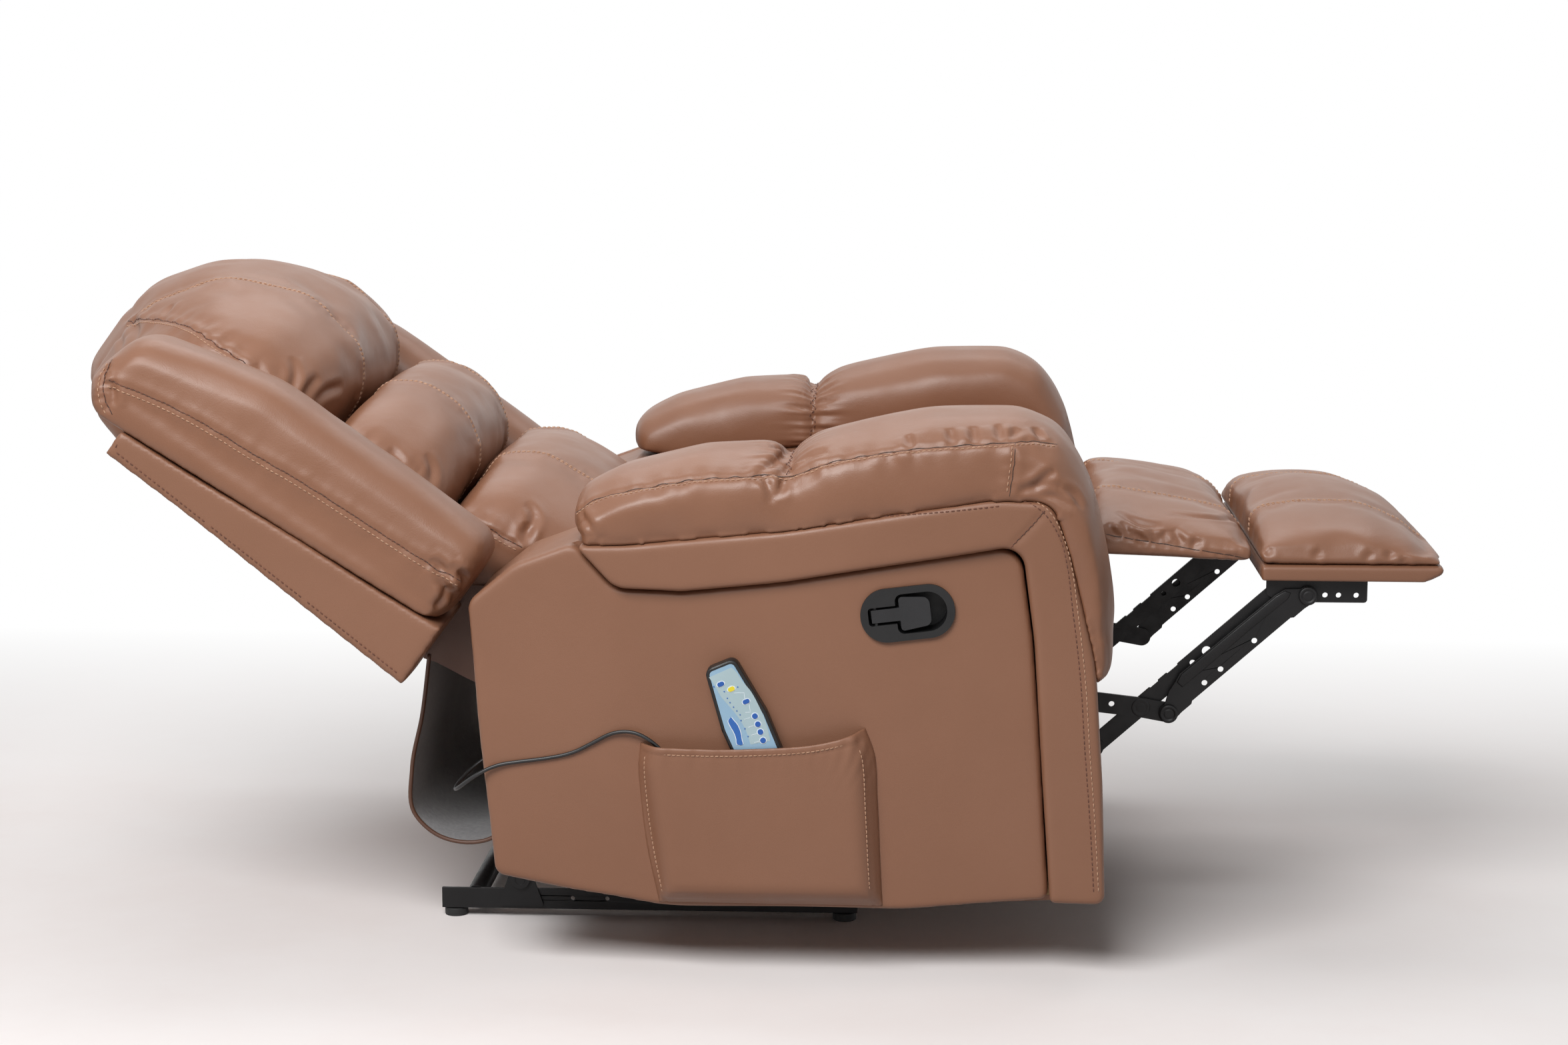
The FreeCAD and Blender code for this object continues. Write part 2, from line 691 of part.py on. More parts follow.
def make_handle():
    face_y = arm_outer_y - band_depth + panel_depth
    front = face_y + bezel_proud
    floor = face_y - cup_depth
    plate = stadium(bezel_length, bezel_height, face_y + skin_gap, front)
    cup = stadium(cup_length, cup_height, floor, face_y + skin_gap)
    recess_x = cup_length / 2 - cup_wall - finger_length / 2
    finger_rear = recess_x - finger_length / 2
    finger_round = finger_height / 2 * full_round_share
    recess = slab([(finger_rear, -finger_height / 2, finger_corner),
                   (finger_rear + finger_length, -finger_height / 2, finger_round),
                   (finger_rear + finger_length, finger_height / 2, finger_round),
                   (finger_rear, finger_height / 2, finger_corner)],
                  -front - cut_over, -floor - cup_floor)
    slot_end = -cup_length / 2 + cup_wall
    slot = slab([(slot_end, -slot_height / 2, cup_wall), (recess_x, -slot_height / 2, 0),
                 (recess_x, slot_height / 2, 0), (slot_end, slot_height / 2, cup_wall)],
                -front - cut_over, -floor - cup_floor)
    pin_x = slot_end + cup_wall * 2
    paddle_out = front - handle_sink
    paddle_in = paddle_out - paddle_thickness
    pin_y = (paddle_out + paddle_in) / 2
    pin = Part.makeCylinder(handle_pin_radius, slot_height + cup_wall,
                            vec(pin_x, -pin_y, -slot_height / 2 - cup_wall / 2))
    bezel = plate.fuse(cup).cut(recess).cut(slot).fuse(pin).removeSplitter()
    stem_end = pin_x - handle_pin_radius - stem_wall
    head_x = pin_x + stem_length
    root_x = head_x + stem_overlap
    half = stem_height / 2
    stem = slab([(stem_end, -half, stem_corner), (root_x, -half, 0), (root_x, half, 0),
                 (stem_end, half, stem_corner)], -paddle_out, -paddle_in)
    tip_x = head_x + paddle_length
    half = paddle_height / 2
    tip_half = half - paddle_corner / 2
    head = slab([(head_x, -half, paddle_corner / 2), (tip_x, -tip_half, paddle_corner),
                 (tip_x, tip_half, paddle_corner), (head_x, half, paddle_corner / 2)],
                -paddle_out, -paddle_in)
    bore = Part.makeCylinder(handle_pin_radius + pin_clearance, slot_height * 2,
                             vec(pin_x, -pin_y, -slot_height))
    lever = stem.fuse(head).cut(bore).removeSplitter()
    nodes["handle_bezel"] = handle_place(bezel)
    nodes["release_lever"] = handle_place(lever)


def make_seat():
    front_x = seat_rail_x + seat_rail_length
    base = seat_base_z - skin_gap - strap_thickness - seat_rail_height
    span = arm_inner_y - skin_gap
    box = [Part.makeBox(seat_rail_thickness, 2 * span, seat_rail_height, vec(x, -span, base))
           for x in (seat_rail_x, front_x - seat_rail_thickness)]
    inner_length = seat_rail_length - 2 * seat_rail_thickness
    for y in (-seat_side_y, seat_side_y - seat_rail_thickness):
        box.append(Part.makeBox(inner_length, seat_rail_thickness, seat_rail_height,
                                vec(seat_rail_x + seat_rail_thickness, y, base)))
    nodes["seat_frame"] = Part.makeCompound(box)
    first = -strap_pitch * (strap_count - 1) / 2
    straps = []
    for i in range(strap_count):
        y = first + i * strap_pitch - strap_width / 2
        straps.append(Part.makeBox(seat_rail_length, strap_width, strap_thickness,
                                   vec(seat_rail_x, y, base + seat_rail_height)))
    nodes["seat_webbing"] = Part.makeCompound(straps)
    length = seat_front_x - seat_rear_x
    soft = cushion(lambda x, z: (x, seat_base_z + z), seat_rear_x, length, seat_rise, seat_shares,
                   seat_draw_shares, seat_half_width)
    motor_place = (seat_rear_x + length / 2, seat_base_z + motor_depth, 0, 0, 1)
    nodes["seat_cushion"] = with_motors(soft, [motor_place], "seat_motors")
    rear = Part.makeBox(rear_board_thickness, 2 * span, rear_board_height,
                        vec(rear_board_x, -span, rear_board_bottom_z))
    nodes["rear_board"] = rear
    block = Part.makeBox(box_length, box_width, box_height,
                         vec(box_x, -box_width / 2, base + seat_rail_height - box_height))
    upright = [e for e in block.Edges if abs(e.tangentAt(e.FirstParameter).z) > 0.9]
    nodes["control_box"] = block.makeFillet(box_height / 6, upright)


def with_motors(cushion, places, name):
    """Cut flat round pockets into a cushion's underside and put a vibration motor into each."""
    motors = []
    for x, z, ax, ay, az in places:
        way = vec(ax, ay, az)
        for y in (-motor_side_y, motor_side_y):
            foot = vec(x, y, z) - way * motor_depth
            depth = motor_depth + motor_clearance + cut_over
            pocket = Part.makeCylinder(motor_radius + motor_clearance, depth, foot - way * cut_over, way)
            cushion = cushion.cut(pocket)
            motors.append(Part.makeCylinder(motor_radius, motor_depth, foot, way))
    nodes.setdefault(name, []).extend(motors)
    return cushion


def within_shell(margin, beyond):
    """The back's outline inside the shell's three walls, drawn on past its open front."""
    low = shell_low + margin
    top = shell_low + shell_length - margin
    places = [(low, shell_rear_out(low) + margin), (top, shell_rear_out(top) + margin),
              (top, shell_front_out(top) + beyond), (low, shell_front_out(low) + beyond)]
    return [back_place(a, o) + (0,) for a, o in places]


def make_back():
    rear_low = shell_rear_out(shell_low)
    top = shell_low + shell_length
    corners = [(shell_low, rear_low), (top, shell_rear_out(top)), (top, shell_front_out(top)),
               (shell_low, shell_front_out(shell_low))]
    outline = [back_place(a, o) + (0,) for a, o in corners]
    tray = slab(outline, -shell_half_width, shell_half_width)
    inner = within_shell(shell_skin, cut_over)
    inner_y = shell_half_width - shell_skin
    nodes["back_shell"] = tray.cut(slab(inner, -inner_y, inner_y))
    frame_y = inner_y - skin_gap
    solid = slab(within_shell(shell_skin + skin_gap, 0), -frame_y, frame_y)
    rails = [shell_low, shell_low + (shell_length - rail_width) / 2, top - rail_width]
    for low, high in zip(rails[:-1], rails[1:]):
        gap = [back_place(a, o) + (0,) for a, o in (
            (low + rail_width, shell_rear_out(low) - cut_over), (high, shell_rear_out(high) - cut_over),
            (high, shell_front_out(high) + cut_over), (low + rail_width, shell_front_out(low) + cut_over))]
        solid = solid.cut(slab(gap, -frame_y + stile_width, frame_y - stile_width))
    nodes["back_frame"] = solid

    wing = [seated_place(shell_low + a * wing_length, b * wing_thickness) + (c * wing_thickness,)
            for a, b, c in wing_shares]
    width = wing_outer_y - wing_inner_y
    stations = [(wing_inner_y + share * width, depth * wing_crown) for share, depth in pad_crown_shares]
    wing_solid = crowned(wing, wing_free, stations)
    nodes["back_wing_left"] = wing_solid
    nodes["back_wing_right"] = mirrored(wing_solid)

    mid_start = low_start + low_length + cushion_gap
    plans = [
        ("low_cushion", low_start, low_length, low_thickness, low_shares, low_draw_shares, low_half_width),
        ("mid_cushion", mid_start, mid_length, mid_thickness, mid_shares, mid_draw_shares,
         cushion_half_width),
        ("head_cushion", head_start, head_length, head_thickness, head_shares, head_draw_shares,
         cushion_half_width),
    ]
    lean = math.radians(back_lean) - math.atan(shell_front_slope())
    for name, start, length, thickness, shares, draw, half_width in plans:
        solid = cushion(seated_place, start, length, thickness, shares, draw, half_width)
        if name in motor_along_shares:
            along = start + length * motor_along_shares[name]
            x, z = back_place(along, shell_front_out(along) + skin_gap + motor_depth)
            solid = with_motors(solid, [(x, z, math.sin(lean), 0, math.cos(lean))], "back_motors")
        nodes[name] = solid
    foot = shell_low - skin_gap
    front_out = shell_front_out(shell_low) - bracket_front_gap
    rear_out = shell_rear_low_out + bracket_rear_gap
    bracket = [back_place(a * foot, o * foot) + (c * foot,) for a, o, c in back_bracket_shares]
    bracket += [back_place(foot, front_out) + (0,), back_place(foot, rear_out) + (0,)]
    plate = slab(bracket, rear_bar_y, rear_bar_y + link_thickness)
    flange = [back_place(a, o) + (0,) for a, o in (
        (foot - link_thickness, front_out), (foot, front_out), (foot, rear_out),
        (foot - link_thickness, rear_out))]
    plate = plate.fuse(slab(flange, rear_bar_y, rear_bar_y + bracket_flange)).removeSplitter()
    plate = plate.cut(cylinder(pin_radius + pin_clearance, back_pivot_x, back_pivot_z,
                               rear_bar_y - cut_over, rear_bar_y + cut_over))
    nodes["back_brackets"] = both_sides(plate)

    top_x, top_z = back_place(shell_low - skirt_edge_drop, shell_rear_low_out + skirt_edge_inset)
    foot_x = rear_board_x - skin_gap - skirt_thickness
    foot_z = rear_board_bottom_z + skirt_foot_share * rear_board_height
    drop = top_z - foot_z
    points = [(foot_x + a * (top_x - foot_x), foot_z + b * drop, c * drop) for a, b, c in skirt_shares]
    nodes["rear_skirt"] = open_path(points, skirt_thickness)


def open_path(points, thickness):
    """A hanging strip of cloth: an open line with round bends, given a thickness."""
    def line(shift):
        spots = []
        for i, (x, z, r) in enumerate(points):
            x0, z0 = points[max(i - 1, 0)][:2]
            x1, z1 = points[min(i + 1, len(points) - 1)][:2]
            length = math.hypot(x1 - x0, z1 - z0)
            nx, nz = (z1 - z0) / length, -(x1 - x0) / length
            spots.append((x + nx * shift, z + nz * shift, r))
        return spots
    outline = line(0) + list(reversed(line(thickness)))
    return slab(outline, -skirt_half_width, skirt_half_width)


def make_footrest():
    tip = board_rear_x + board_length
    top = board_base_z + footboard_thickness
    half_edge = board_edge_corner / 2
    board = [(board_rear_x, board_base_z, board_edge_corner),
             (tip - footboard_thickness, board_base_z, board_corner),
             (tip, board_base_z + footboard_thickness / 2, board_corner - board_edge_corner),
             (tip, top, half_edge), (board_rear_x, top, half_edge)]
    nodes["footrest_board"] = slab(board, -foot_half_width, foot_half_width)
    nodes["footrest_pad"] = cushion(lambda x, z: (x, top + skin_gap + z), board_rear_x, board_length,
                                    foot_pad_rise, foot_pad_shares, foot_pad_draw_shares, foot_half_width)
    nodes["calf_pad"] = cushion(lambda x, z: (x, calf_base_z + z), calf_rear_x, calf_length, calf_rise,
                                calf_shares, calf_draw_shares, foot_half_width)
    rear = rear_joint_x - bracket_rear_run
    front = front_joint_x + bracket_front_run
    low = board_base_z - bracket_height
    plate = slab([(rear, low + bracket_height / 3, bracket_corner),
                  (rear + bracket_height / 2, low, bracket_corner), (front, low, bracket_corner),
                  (front, board_base_z - skin_gap, bracket_top_corner),
                  (rear, board_base_z - skin_gap, bracket_top_corner)],
                 link_y, link_y + link_thickness)
    for run in bracket_hole_runs:
        plate = plate.cut(cylinder(bracket_hole_radius, front_joint_x + run, front_joint_z,
                                   link_y - cut_over, link_y + cut_over))
    flange = Part.makeBox(front - rear, bracket_flange, link_thickness,
                          vec(rear, link_y + link_thickness - bracket_flange,
                              board_base_z - skin_gap - link_thickness))
    keep_clear = bar_width / 2 + link_width
    flange = flange.cut(Part.makeBox(keep_clear * 2, bracket_flange, link_thickness * 3,
                                     vec(rear_joint_x - keep_clear, link_y - bracket_flange,
                                         board_base_z - link_thickness * 2)))
    plate = plate.fuse(flange)
    plate = plate.fuse(pivot(rear_joint_x, rear_joint_z, rear_bar_y - layer_gap, link_y))
    plate = plate.fuse(pivot(front_joint_x, front_joint_z, link_y, front_y_end, True))
    nodes["footrest_brackets"] = both_sides(plate.removeSplitter())


def pivot(x, z, y0, y1, washer=False):
    """A rivet's shank between two depths, with a round head at its outer end."""
    pin = cylinder(pin_radius, x, z, y0, y1)
    if washer:
        pin = pin.fuse(cylinder(washer_radius, x, z, y1 - washer_thickness, y1))
    return pin


def drilled(shape, places, y0, y1):
    """Clearance holes for the pivots."""
    for x, z in places:
        shape = shape.cut(cylinder(pin_radius + pin_clearance, x, z, y0 - cut_over, y1 + cut_over))
    return shape


def make_linkage():
    end = link_y + link_thickness
    lift = bar(crank_x, crank_z, knee_x, knee_z, link_width, link_y, end)
    lift = lift.fuse(bar(knee_x, knee_z, toe_x, toe_z, link_width, link_y, end)).removeSplitter()
    lift = drilled(lift, [(crank_x, crank_z)], link_y, end)
    hole_x = crank_x + lift_hole_share * crank_run
    hole_z = crank_z - lift_hole_share * crank_drop
    lift = lift.cut(cylinder(bar_hole_radius, hole_x, hole_z, link_y - cut_over, end + cut_over))
    lift = lift.fuse(pivot(knee_x, knee_z, rear_bar_y - layer_gap, link_y))
    lift = lift.fuse(pivot(toe_x, toe_z, end, front_y_end, True))
    tube_x = crank_x + cross_tube_share * crank_run
    tube_z = crank_z - cross_tube_share * crank_drop
    nodes["lift_links"] = both_sides(lift.removeSplitter())
    nodes["lift_cross_tube"] = cylinder(cross_tube_radius, tube_x, tube_z, -link_y, link_y)
    control = bar(control_x, control_z, tail_x, tail_z, link_width, link_y, end)
    control = drilled(control, [(control_x, control_z)], link_y, end)
    control = control.fuse(pivot(tail_x, tail_z, rear_bar_y - layer_gap, link_y)).removeSplitter()
    nodes["control_links"] = both_sides(control)
    rear_end = rear_bar_y + link_thickness
    rear_bar = stamped_bar(rear_bar_shares, (knee_x, knee_z), (rear_joint_x, rear_joint_z), rear_bar_y,
                           rear_bar_hole_shares)
    rear_bar = rear_bar.fuse(cylinder(bar_end_share * bar_width, tail_x, tail_z, rear_bar_y, rear_end))
    rear_bar = drilled(rear_bar, [(tail_x, tail_z), (knee_x, knee_z), (rear_joint_x, rear_joint_z)],
                       rear_bar_y, rear_end)
    front_end = front_bar_y + link_thickness
    front_bar = stamped_bar(front_bar_shares, (toe_x, toe_z), (front_joint_x, front_joint_z), front_bar_y,
                            front_bar_hole_shares)
    front_bar = drilled(front_bar, [(toe_x, toe_z), (front_joint_x, front_joint_z)], front_bar_y, front_end)
    nodes["rear_bars"] = both_sides(rear_bar)
    nodes["front_bars"] = both_sides(front_bar)


def stamped_bar(shares, start, end, y0, hole_shares):
    """A pressed bar between two pivots, with a notched outline, round ends and holes."""
    run_x = end[0] - start[0]
    run_z = end[1] - start[1]
    length = math.hypot(run_x, run_z)
    nx, nz = -run_z / length * bar_width, run_x / length * bar_width
    y1 = y0 + link_thickness
    outline = [(start[0] + a * run_x + b * nx, start[1] + a * run_z + b * nz, 0) for a, b in shares]
    solid = slab(outline, y0, y1)
    solid = solid.fuse([cylinder(bar_end_share * bar_width, x, z, y0, y1) for x, z in (start, end)])
    for share, size_share in hole_shares:
        solid = solid.cut(cylinder(bar_hole_radius * size_share, start[0] + share * run_x,
                                   start[1] + share * run_z, y0 - cut_over, y1 + cut_over))
    return solid


def make_mechanism():
    margin = plate_margin
    corner = plate_margin * plate_corner_share
    beam_low = control_z - margin
    beam_top = crank_z + margin
    tab_z = swing_base_z + swing_dz - margin
    points = []
    for x in (swing_rear_x + swing_dx, swing_front_x + swing_dx):
        points += [(x - margin, tab_z, corner), (x + margin, tab_z, corner),
                   (x + margin + tab_slope, beam_low, margin)]
        if x < swing_front_x:
            points.append((swing_front_x + swing_dx - margin - tab_slope, beam_low, margin))
    points += [(control_x + margin, beam_low, corner), (crank_x + margin, crank_z - margin, corner),
               (crank_x + margin, beam_top, corner),
               (back_pivot_x + margin + tab_slope, beam_top, corner),
               (back_pivot_x + margin, back_pivot_z + margin, corner),
               (back_pivot_x - margin, back_pivot_z + margin, corner)]
    plate = slab(points, plate_inner_y, plate_inner_y + link_thickness)
    nodes["side_plates"] = both_sides(plate)
    pins = [pivot(crank_x, crank_z, plate_inner_y + link_thickness, front_y_end, True),
            pivot(control_x, control_z, plate_inner_y + link_thickness, front_y_end, True),
            pivot(back_pivot_x, back_pivot_z, plate_inner_y + link_thickness, front_y_end, True)]
    for x in swing_places.values():
        pins.append(cylinder(pin_radius, x + swing_dx, swing_base_z + swing_dz,
                             riser_y + link_thickness, plate_inner_y))
    nodes["body_pins"] = both_sides(Part.makeCompound(pins))
    risers = []
    for name, x in swing_places.items():
        link = bar(x, swing_base_z, x + swing_dx, swing_base_z + swing_dz, link_width,
                   swing_y, swing_y + link_thickness)
        link = drilled(link, [(x, swing_base_z), (x + swing_dx, swing_base_z + swing_dz)],
                       swing_y, swing_y + link_thickness)
        nodes[name + "_swing_links"] = both_sides(link)
        foot = rail_bottom_z + rail_thickness
        half = riser_width / 2
        head_half = pin_radius * 2
        riser = slab([(x - half, foot, riser_foot_corner), (x + half, foot, riser_foot_corner),
                      (x + head_half, riser_top_z, riser_head_corner),
                      (x - head_half, riser_top_z, riser_head_corner)], riser_y, riser_y + link_thickness)
        shank = pivot(x, swing_base_z, riser_y + link_thickness, swing_y + link_thickness)
        risers.append(riser.fuse(shank).removeSplitter())
    nodes["base_risers"] = both_sides(Part.makeCompound(risers))


def make_base():
    web = Part.makeBox(rail_length, rail_thickness, rail_height,
                       vec(rail_rear_x, riser_y - rail_thickness, rail_bottom_z))
    flange = Part.makeBox(rail_length, rail_flange, rail_thickness,
                          vec(rail_rear_x, riser_y - rail_flange, rail_bottom_z))
    rail = web.fuse(flange).removeSplitter()
    for i in range(rail_hole_count):
        x = rail_rear_x + rail_hole_start + i * rail_hole_pitch
        rail = rail.cut(cylinder(rail_hole_radius, x, rail_bottom_z + rail_hole_rise,
                                 riser_y - cut_over, riser_y + cut_over))
    feet = []
    for x in (rail_rear_x + foot_inset, rail_rear_x + rail_length - foot_inset):
        y = riser_y - rail_flange / 2 - rail_thickness / 2
        puck = Part.makeCylinder(foot_radius, foot_height, vec(x, y, 0))
        rims = [e for e in puck.Edges if e.Curve.TypeId == "Part::GeomCircle"]
        puck = puck.makeFillet(foot_height / 6, rims)
        stem = Part.makeCylinder(foot_stem_radius, rail_bottom_z + 2 * rail_thickness, vec(x, y, 0))
        rail = rail.cut(Part.makeCylinder(foot_stem_radius + skin_gap, rail_bottom_z + rail_height,
                                          vec(x, y, 0)))
        head = Part.makeCylinder(foot_head_radius, rail_thickness,
                                 vec(x, y, rail_bottom_z + rail_thickness))
        feet.append(puck.fuse(stem).fuse(head).removeSplitter())
    nodes["base_rails"] = both_sides(rail)
    nodes["glide_feet"] = both_sides(Part.makeCompound(feet))
    tubes = []
    span = riser_y - rail_thickness
    tube_inset = foot_inset + base_tube_inset
    for x in (rail_rear_x + tube_inset, rail_rear_x + rail_length - tube_inset):
        tubes.append(cylinder(base_tube_radius, x, rail_bottom_z + rail_thickness + base_tube_radius,
                              -span, span))
    nodes["base_cross_tubes"] = Part.makeCompound(tubes)


def make_pocket():
    face_y = arm_outer_y - band_depth + panel_depth
    outline = [(pocket_x + a * pocket_length, pocket_z + b * pocket_height, c * pocket_height)
               for a, b, c in pocket_shares]
    draw = pocket_bulge * pocket_draw_share
    free = pocket_edge_shares
    outer = pocket_body(outline, free, face_y + skin_gap, face_y + pocket_bulge, draw)
    inner_line = inset(outline, pocket_leather, free)
    raised = [(x, z + pocket_leather * share, r)
              for (x, z, r), share in zip(inner_line, pocket_mouth_shares)]
    inner = pocket_body(raised, free, face_y - skin_gap, face_y + pocket_bulge - pocket_leather, draw)
    nodes["side_pocket"] = outer.cut(inner)


def pocket_body(outline, free, y0, y1, draw):
    """The pocket's space: full outline on the panel, drawn in at the sides and foot further out."""
    depth_share, draw_share = pocket_round_shares
    stations = [(-y1, draw), (-y1 + (y1 - y0) * depth_share, draw * draw_share), (-y0, 0)]
    return solid_loft([rounded_wire(inset(outline, depth, free), y) for y, depth in stations])


def handset_point(across, down):
    """A place on the handset: across from its middle and down from its top."""
    lean = math.radians(handset_lean)
    x = handset_top_x + across * math.cos(lean) + down * math.sin(lean)
    z = handset_top_z + across * math.sin(lean) - down * math.cos(lean)
    return x, z


def handset_outline(shrink):
    """The handset's outline, drawn in by a rim."""
    half = handset_width / 2
    right = [(a * half, b * handset_length, c * half) for a, b, c in handset_shares]
    left = [(-a, b, c) for a, b, c in reversed(right)]
    points = [handset_point(a, b) + (c,) for a, b, c in right + left]
    return inset(points, shrink, [1] * len(points)) if shrink else points


def make_handset():
    back_y = arm_outer_y - band_depth + panel_depth + handset_gap
    front_y = back_y + handset_thickness
    edge = handset_rim / 2
    stations = [(front_y, edge), (front_y - edge / 2, edge / 4), (front_y - edge, 0),
                (back_y + edge, 0), (back_y, edge)]
    wires = [rounded_wire(handset_outline(depth), -y) for y, depth in stations]
    shell = solid_loft(wires)
    face_y = front_y - face_depth
    shell = shell.cut(slab(handset_outline(handset_rim), -front_y - cut_over, -face_y))
    face = slab(handset_outline(handset_rim + face_gap), -front_y, -face_y - face_gap / 2)
    buttons = []
    for across, down in oval_button_shares:
        x, z = handset_point(across * handset_width, down * handset_length)
        buttons.append((x, z, oval_button_length, oval_button_height))
    for across, down in round_button_shares:
        x, z = handset_point(across * handset_width, down * handset_length)
        buttons.append((x, z, 2 * round_button_radius, 2 * round_button_radius))
    names = ["mode_button_1", "mode_button_2", "mode_button_3", "zone_button_1", "zone_button_2",
             "zone_button_3", "zone_button_4"]
    for name, (x, z, length, height) in zip(names, buttons):
        cap_y = face_y - button_depth + button_rise
        cap = button_shape(x, z, length, height, 0, cap_y, front_y + button_rise)
        room = button_shape(x, z, length, height, button_gap, face_y - button_depth, front_y + cut_over)
        shell = shell.cut(room)
        face = face.cut(room)
        nodes[name] = cap
    nodes["handset_shell"] = shell
    nodes["handset_face"] = face


def button_shape(x, z, length, height, grow, y0, y1):
    """A round or oval button, its long side across the handset."""
    rise = height / 2 + grow
    half = max(length / 2 + grow, rise)
    if half - rise < grow:
        return Part.makeCylinder(rise, y1 - y0, vec(x, -y1, z), vec(0, 1, 0))
    solid = stadium(2 * half, 2 * rise, y0, y1)
    solid.rotate(vec(0, 0, 0), vec(0, -1, 0), handset_lean)
    solid.translate(vec(x, 0, z))
    return solid


make_arms()
make_handle()
make_seat()
make_back()
make_footrest()
make_linkage()
make_mechanism()
make_base()
make_pocket()
make_handset()
nodes["handset_cord"] = tube(cord_route, cord_radius, "handset cord")
nodes["release_cable"] = tube(cable_route, cable_radius, "release cable")

os.makedirs("parts", exist_ok=True)
for name, shape in nodes.items():
    solid = Part.makeCompound(shape) if isinstance(shape, list) else shape
    if not solid.isValid():
        print("not valid:", name)
    solid.exportStep("parts/" + name + ".step")
whole = Part.makeCompound([Part.makeCompound(s) if isinstance(s, list) else s for s in nodes.values()])
bounds = whole.BoundBox
print(len(nodes), "pieces; x", round(bounds.XMin, 1), round(bounds.XMax, 1), "y", round(bounds.YMin, 1),
      round(bounds.YMax, 1), "z", round(bounds.ZMin, 1), round(bounds.ZMax, 1))
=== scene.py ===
import math

import bmesh
import bpy
import numpy as np
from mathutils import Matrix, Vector
from mathutils.bvhtree import BVHTree
from mathutils.kdtree import KDTree


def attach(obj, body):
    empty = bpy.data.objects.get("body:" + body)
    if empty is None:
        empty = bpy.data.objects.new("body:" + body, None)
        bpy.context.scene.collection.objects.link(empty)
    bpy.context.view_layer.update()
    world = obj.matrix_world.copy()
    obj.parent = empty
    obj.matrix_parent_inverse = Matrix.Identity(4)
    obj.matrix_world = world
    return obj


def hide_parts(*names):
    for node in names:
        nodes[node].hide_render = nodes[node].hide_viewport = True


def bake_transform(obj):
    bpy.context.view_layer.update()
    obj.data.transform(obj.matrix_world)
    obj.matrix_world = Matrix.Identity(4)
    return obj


# A reclining massage armchair in brown leather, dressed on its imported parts. Metres, and mm where times mm.
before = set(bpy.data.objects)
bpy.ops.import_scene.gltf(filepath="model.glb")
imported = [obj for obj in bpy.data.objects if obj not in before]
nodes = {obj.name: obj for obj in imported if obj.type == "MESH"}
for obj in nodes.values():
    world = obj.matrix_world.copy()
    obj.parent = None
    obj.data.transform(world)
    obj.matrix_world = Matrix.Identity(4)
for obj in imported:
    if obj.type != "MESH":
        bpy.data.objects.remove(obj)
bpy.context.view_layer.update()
scene = bpy.context.scene
mm = 0.001

# Places shared with the part's source
panel_face_y = 0.436
back_pivot = (-0.205, 0.395)
back_lean = math.radians(35)
seam_half_pitch = 0.120
eye = (0.232, -3.74, 1.063)

# Grain of the lines laid on surfaces, and how far rays reach
line_step = 0.002
coarse_step = 0.004
cast_room = 0.4
sight_slack = 0.15
weld_gap = 1e-5
cut_slack = 1e-7
least = 1e-9

# Seams and folds: how they fade at their ends, and the shape of their ripples and ridges
end_fade = 0.012
ripple_share, fine_share = 0.55, 0.45
fine_length_share = 0.8
reach_share = 0.45
ridge_share = 0.35
fold_reach_share = 4
taper_power = 0.7
wave_count = 5
wave_scale = 2.4
billow_count = 9

# Swelling of the cushions
swell_pressure = 2.5
swell_cap = 0.011
swell_frames = 14
hold_rounds = 6

# Stitches
stitch_pitch = 0.0062
stitch_length = 0.0046
stitch_radius = 0.0007
stitch_sides = 5
# Radius of the dark tube laid along seams as painted seam shadow
seam_shadow_radius = 0.0006
# Sections of one stitch: share of its length along, of its radius up, and of its radius round
stitch_sections = [(-0.5, -0.5, 0.5), (-0.3, 0.5, 1.0), (0.3, 0.5, 1.0), (0.5, -0.5, 0.5)]


# Tools for meshes

def link(name, mesh):
    """A new object of that mesh in the scene."""
    obj = bpy.data.objects.new(name, mesh)
    scene.collection.objects.link(obj)
    return obj


def read(items, field, width, kind=float):
    """One field of a mesh's items, as rows of that width."""
    flat = np.empty(len(items) * width, kind)
    items.foreach_get(field, flat)
    return flat.reshape(-1, width)


def points_of(mesh):
    return read(mesh.vertices, "co", 3)


def edges_of(mesh):
    return read(mesh.edges, "vertices", 2, int)


def normals_of(mesh):
    return read(mesh.vertex_normals, "vector", 3, np.float32).astype(float)


def set_points(mesh, co):
    """Move the mesh's points."""
    mesh.vertices.foreach_set("co", co.astype(np.float32).ravel())
    mesh.update()


def unit(rows):
    """Each row scaled to a length of one."""
    return rows / np.maximum(np.linalg.norm(rows, axis=1), least)[:, None]


def bake_modifiers(obj):
    """The object's mesh with its modifiers applied."""
    graph = bpy.context.evaluated_depsgraph_get()
    made = bpy.data.meshes.new_from_object(obj.evaluated_get(graph))
    made.name = obj.name
    obj.modifiers.clear()
    obj.data = made


def relax(co, pairs, rounds, weight=None):
    """Even out a surface by drawing each point towards the mean of its neighbours."""
    count = len(co)
    links = np.maximum(np.bincount(pairs.ravel(), minlength=count), 1)[:, None]
    share = 0.5 if weight is None else 0.5 * weight[:, None]
    for _ in range(rounds):
        total = np.empty_like(co)
        for k in range(co.shape[1]):
            total[:, k] = np.bincount(pairs[:, 0], co[pairs[:, 1], k], count)
            total[:, k] += np.bincount(pairs[:, 1], co[pairs[:, 0], k], count)
        co = co + (total / links - co) * share
    return co


def shade_smooth(mesh):
    """Smooth shading over the whole mesh."""
    mesh.polygons.foreach_set("use_smooth", np.ones(len(mesh.polygons), bool))
    mesh.update()


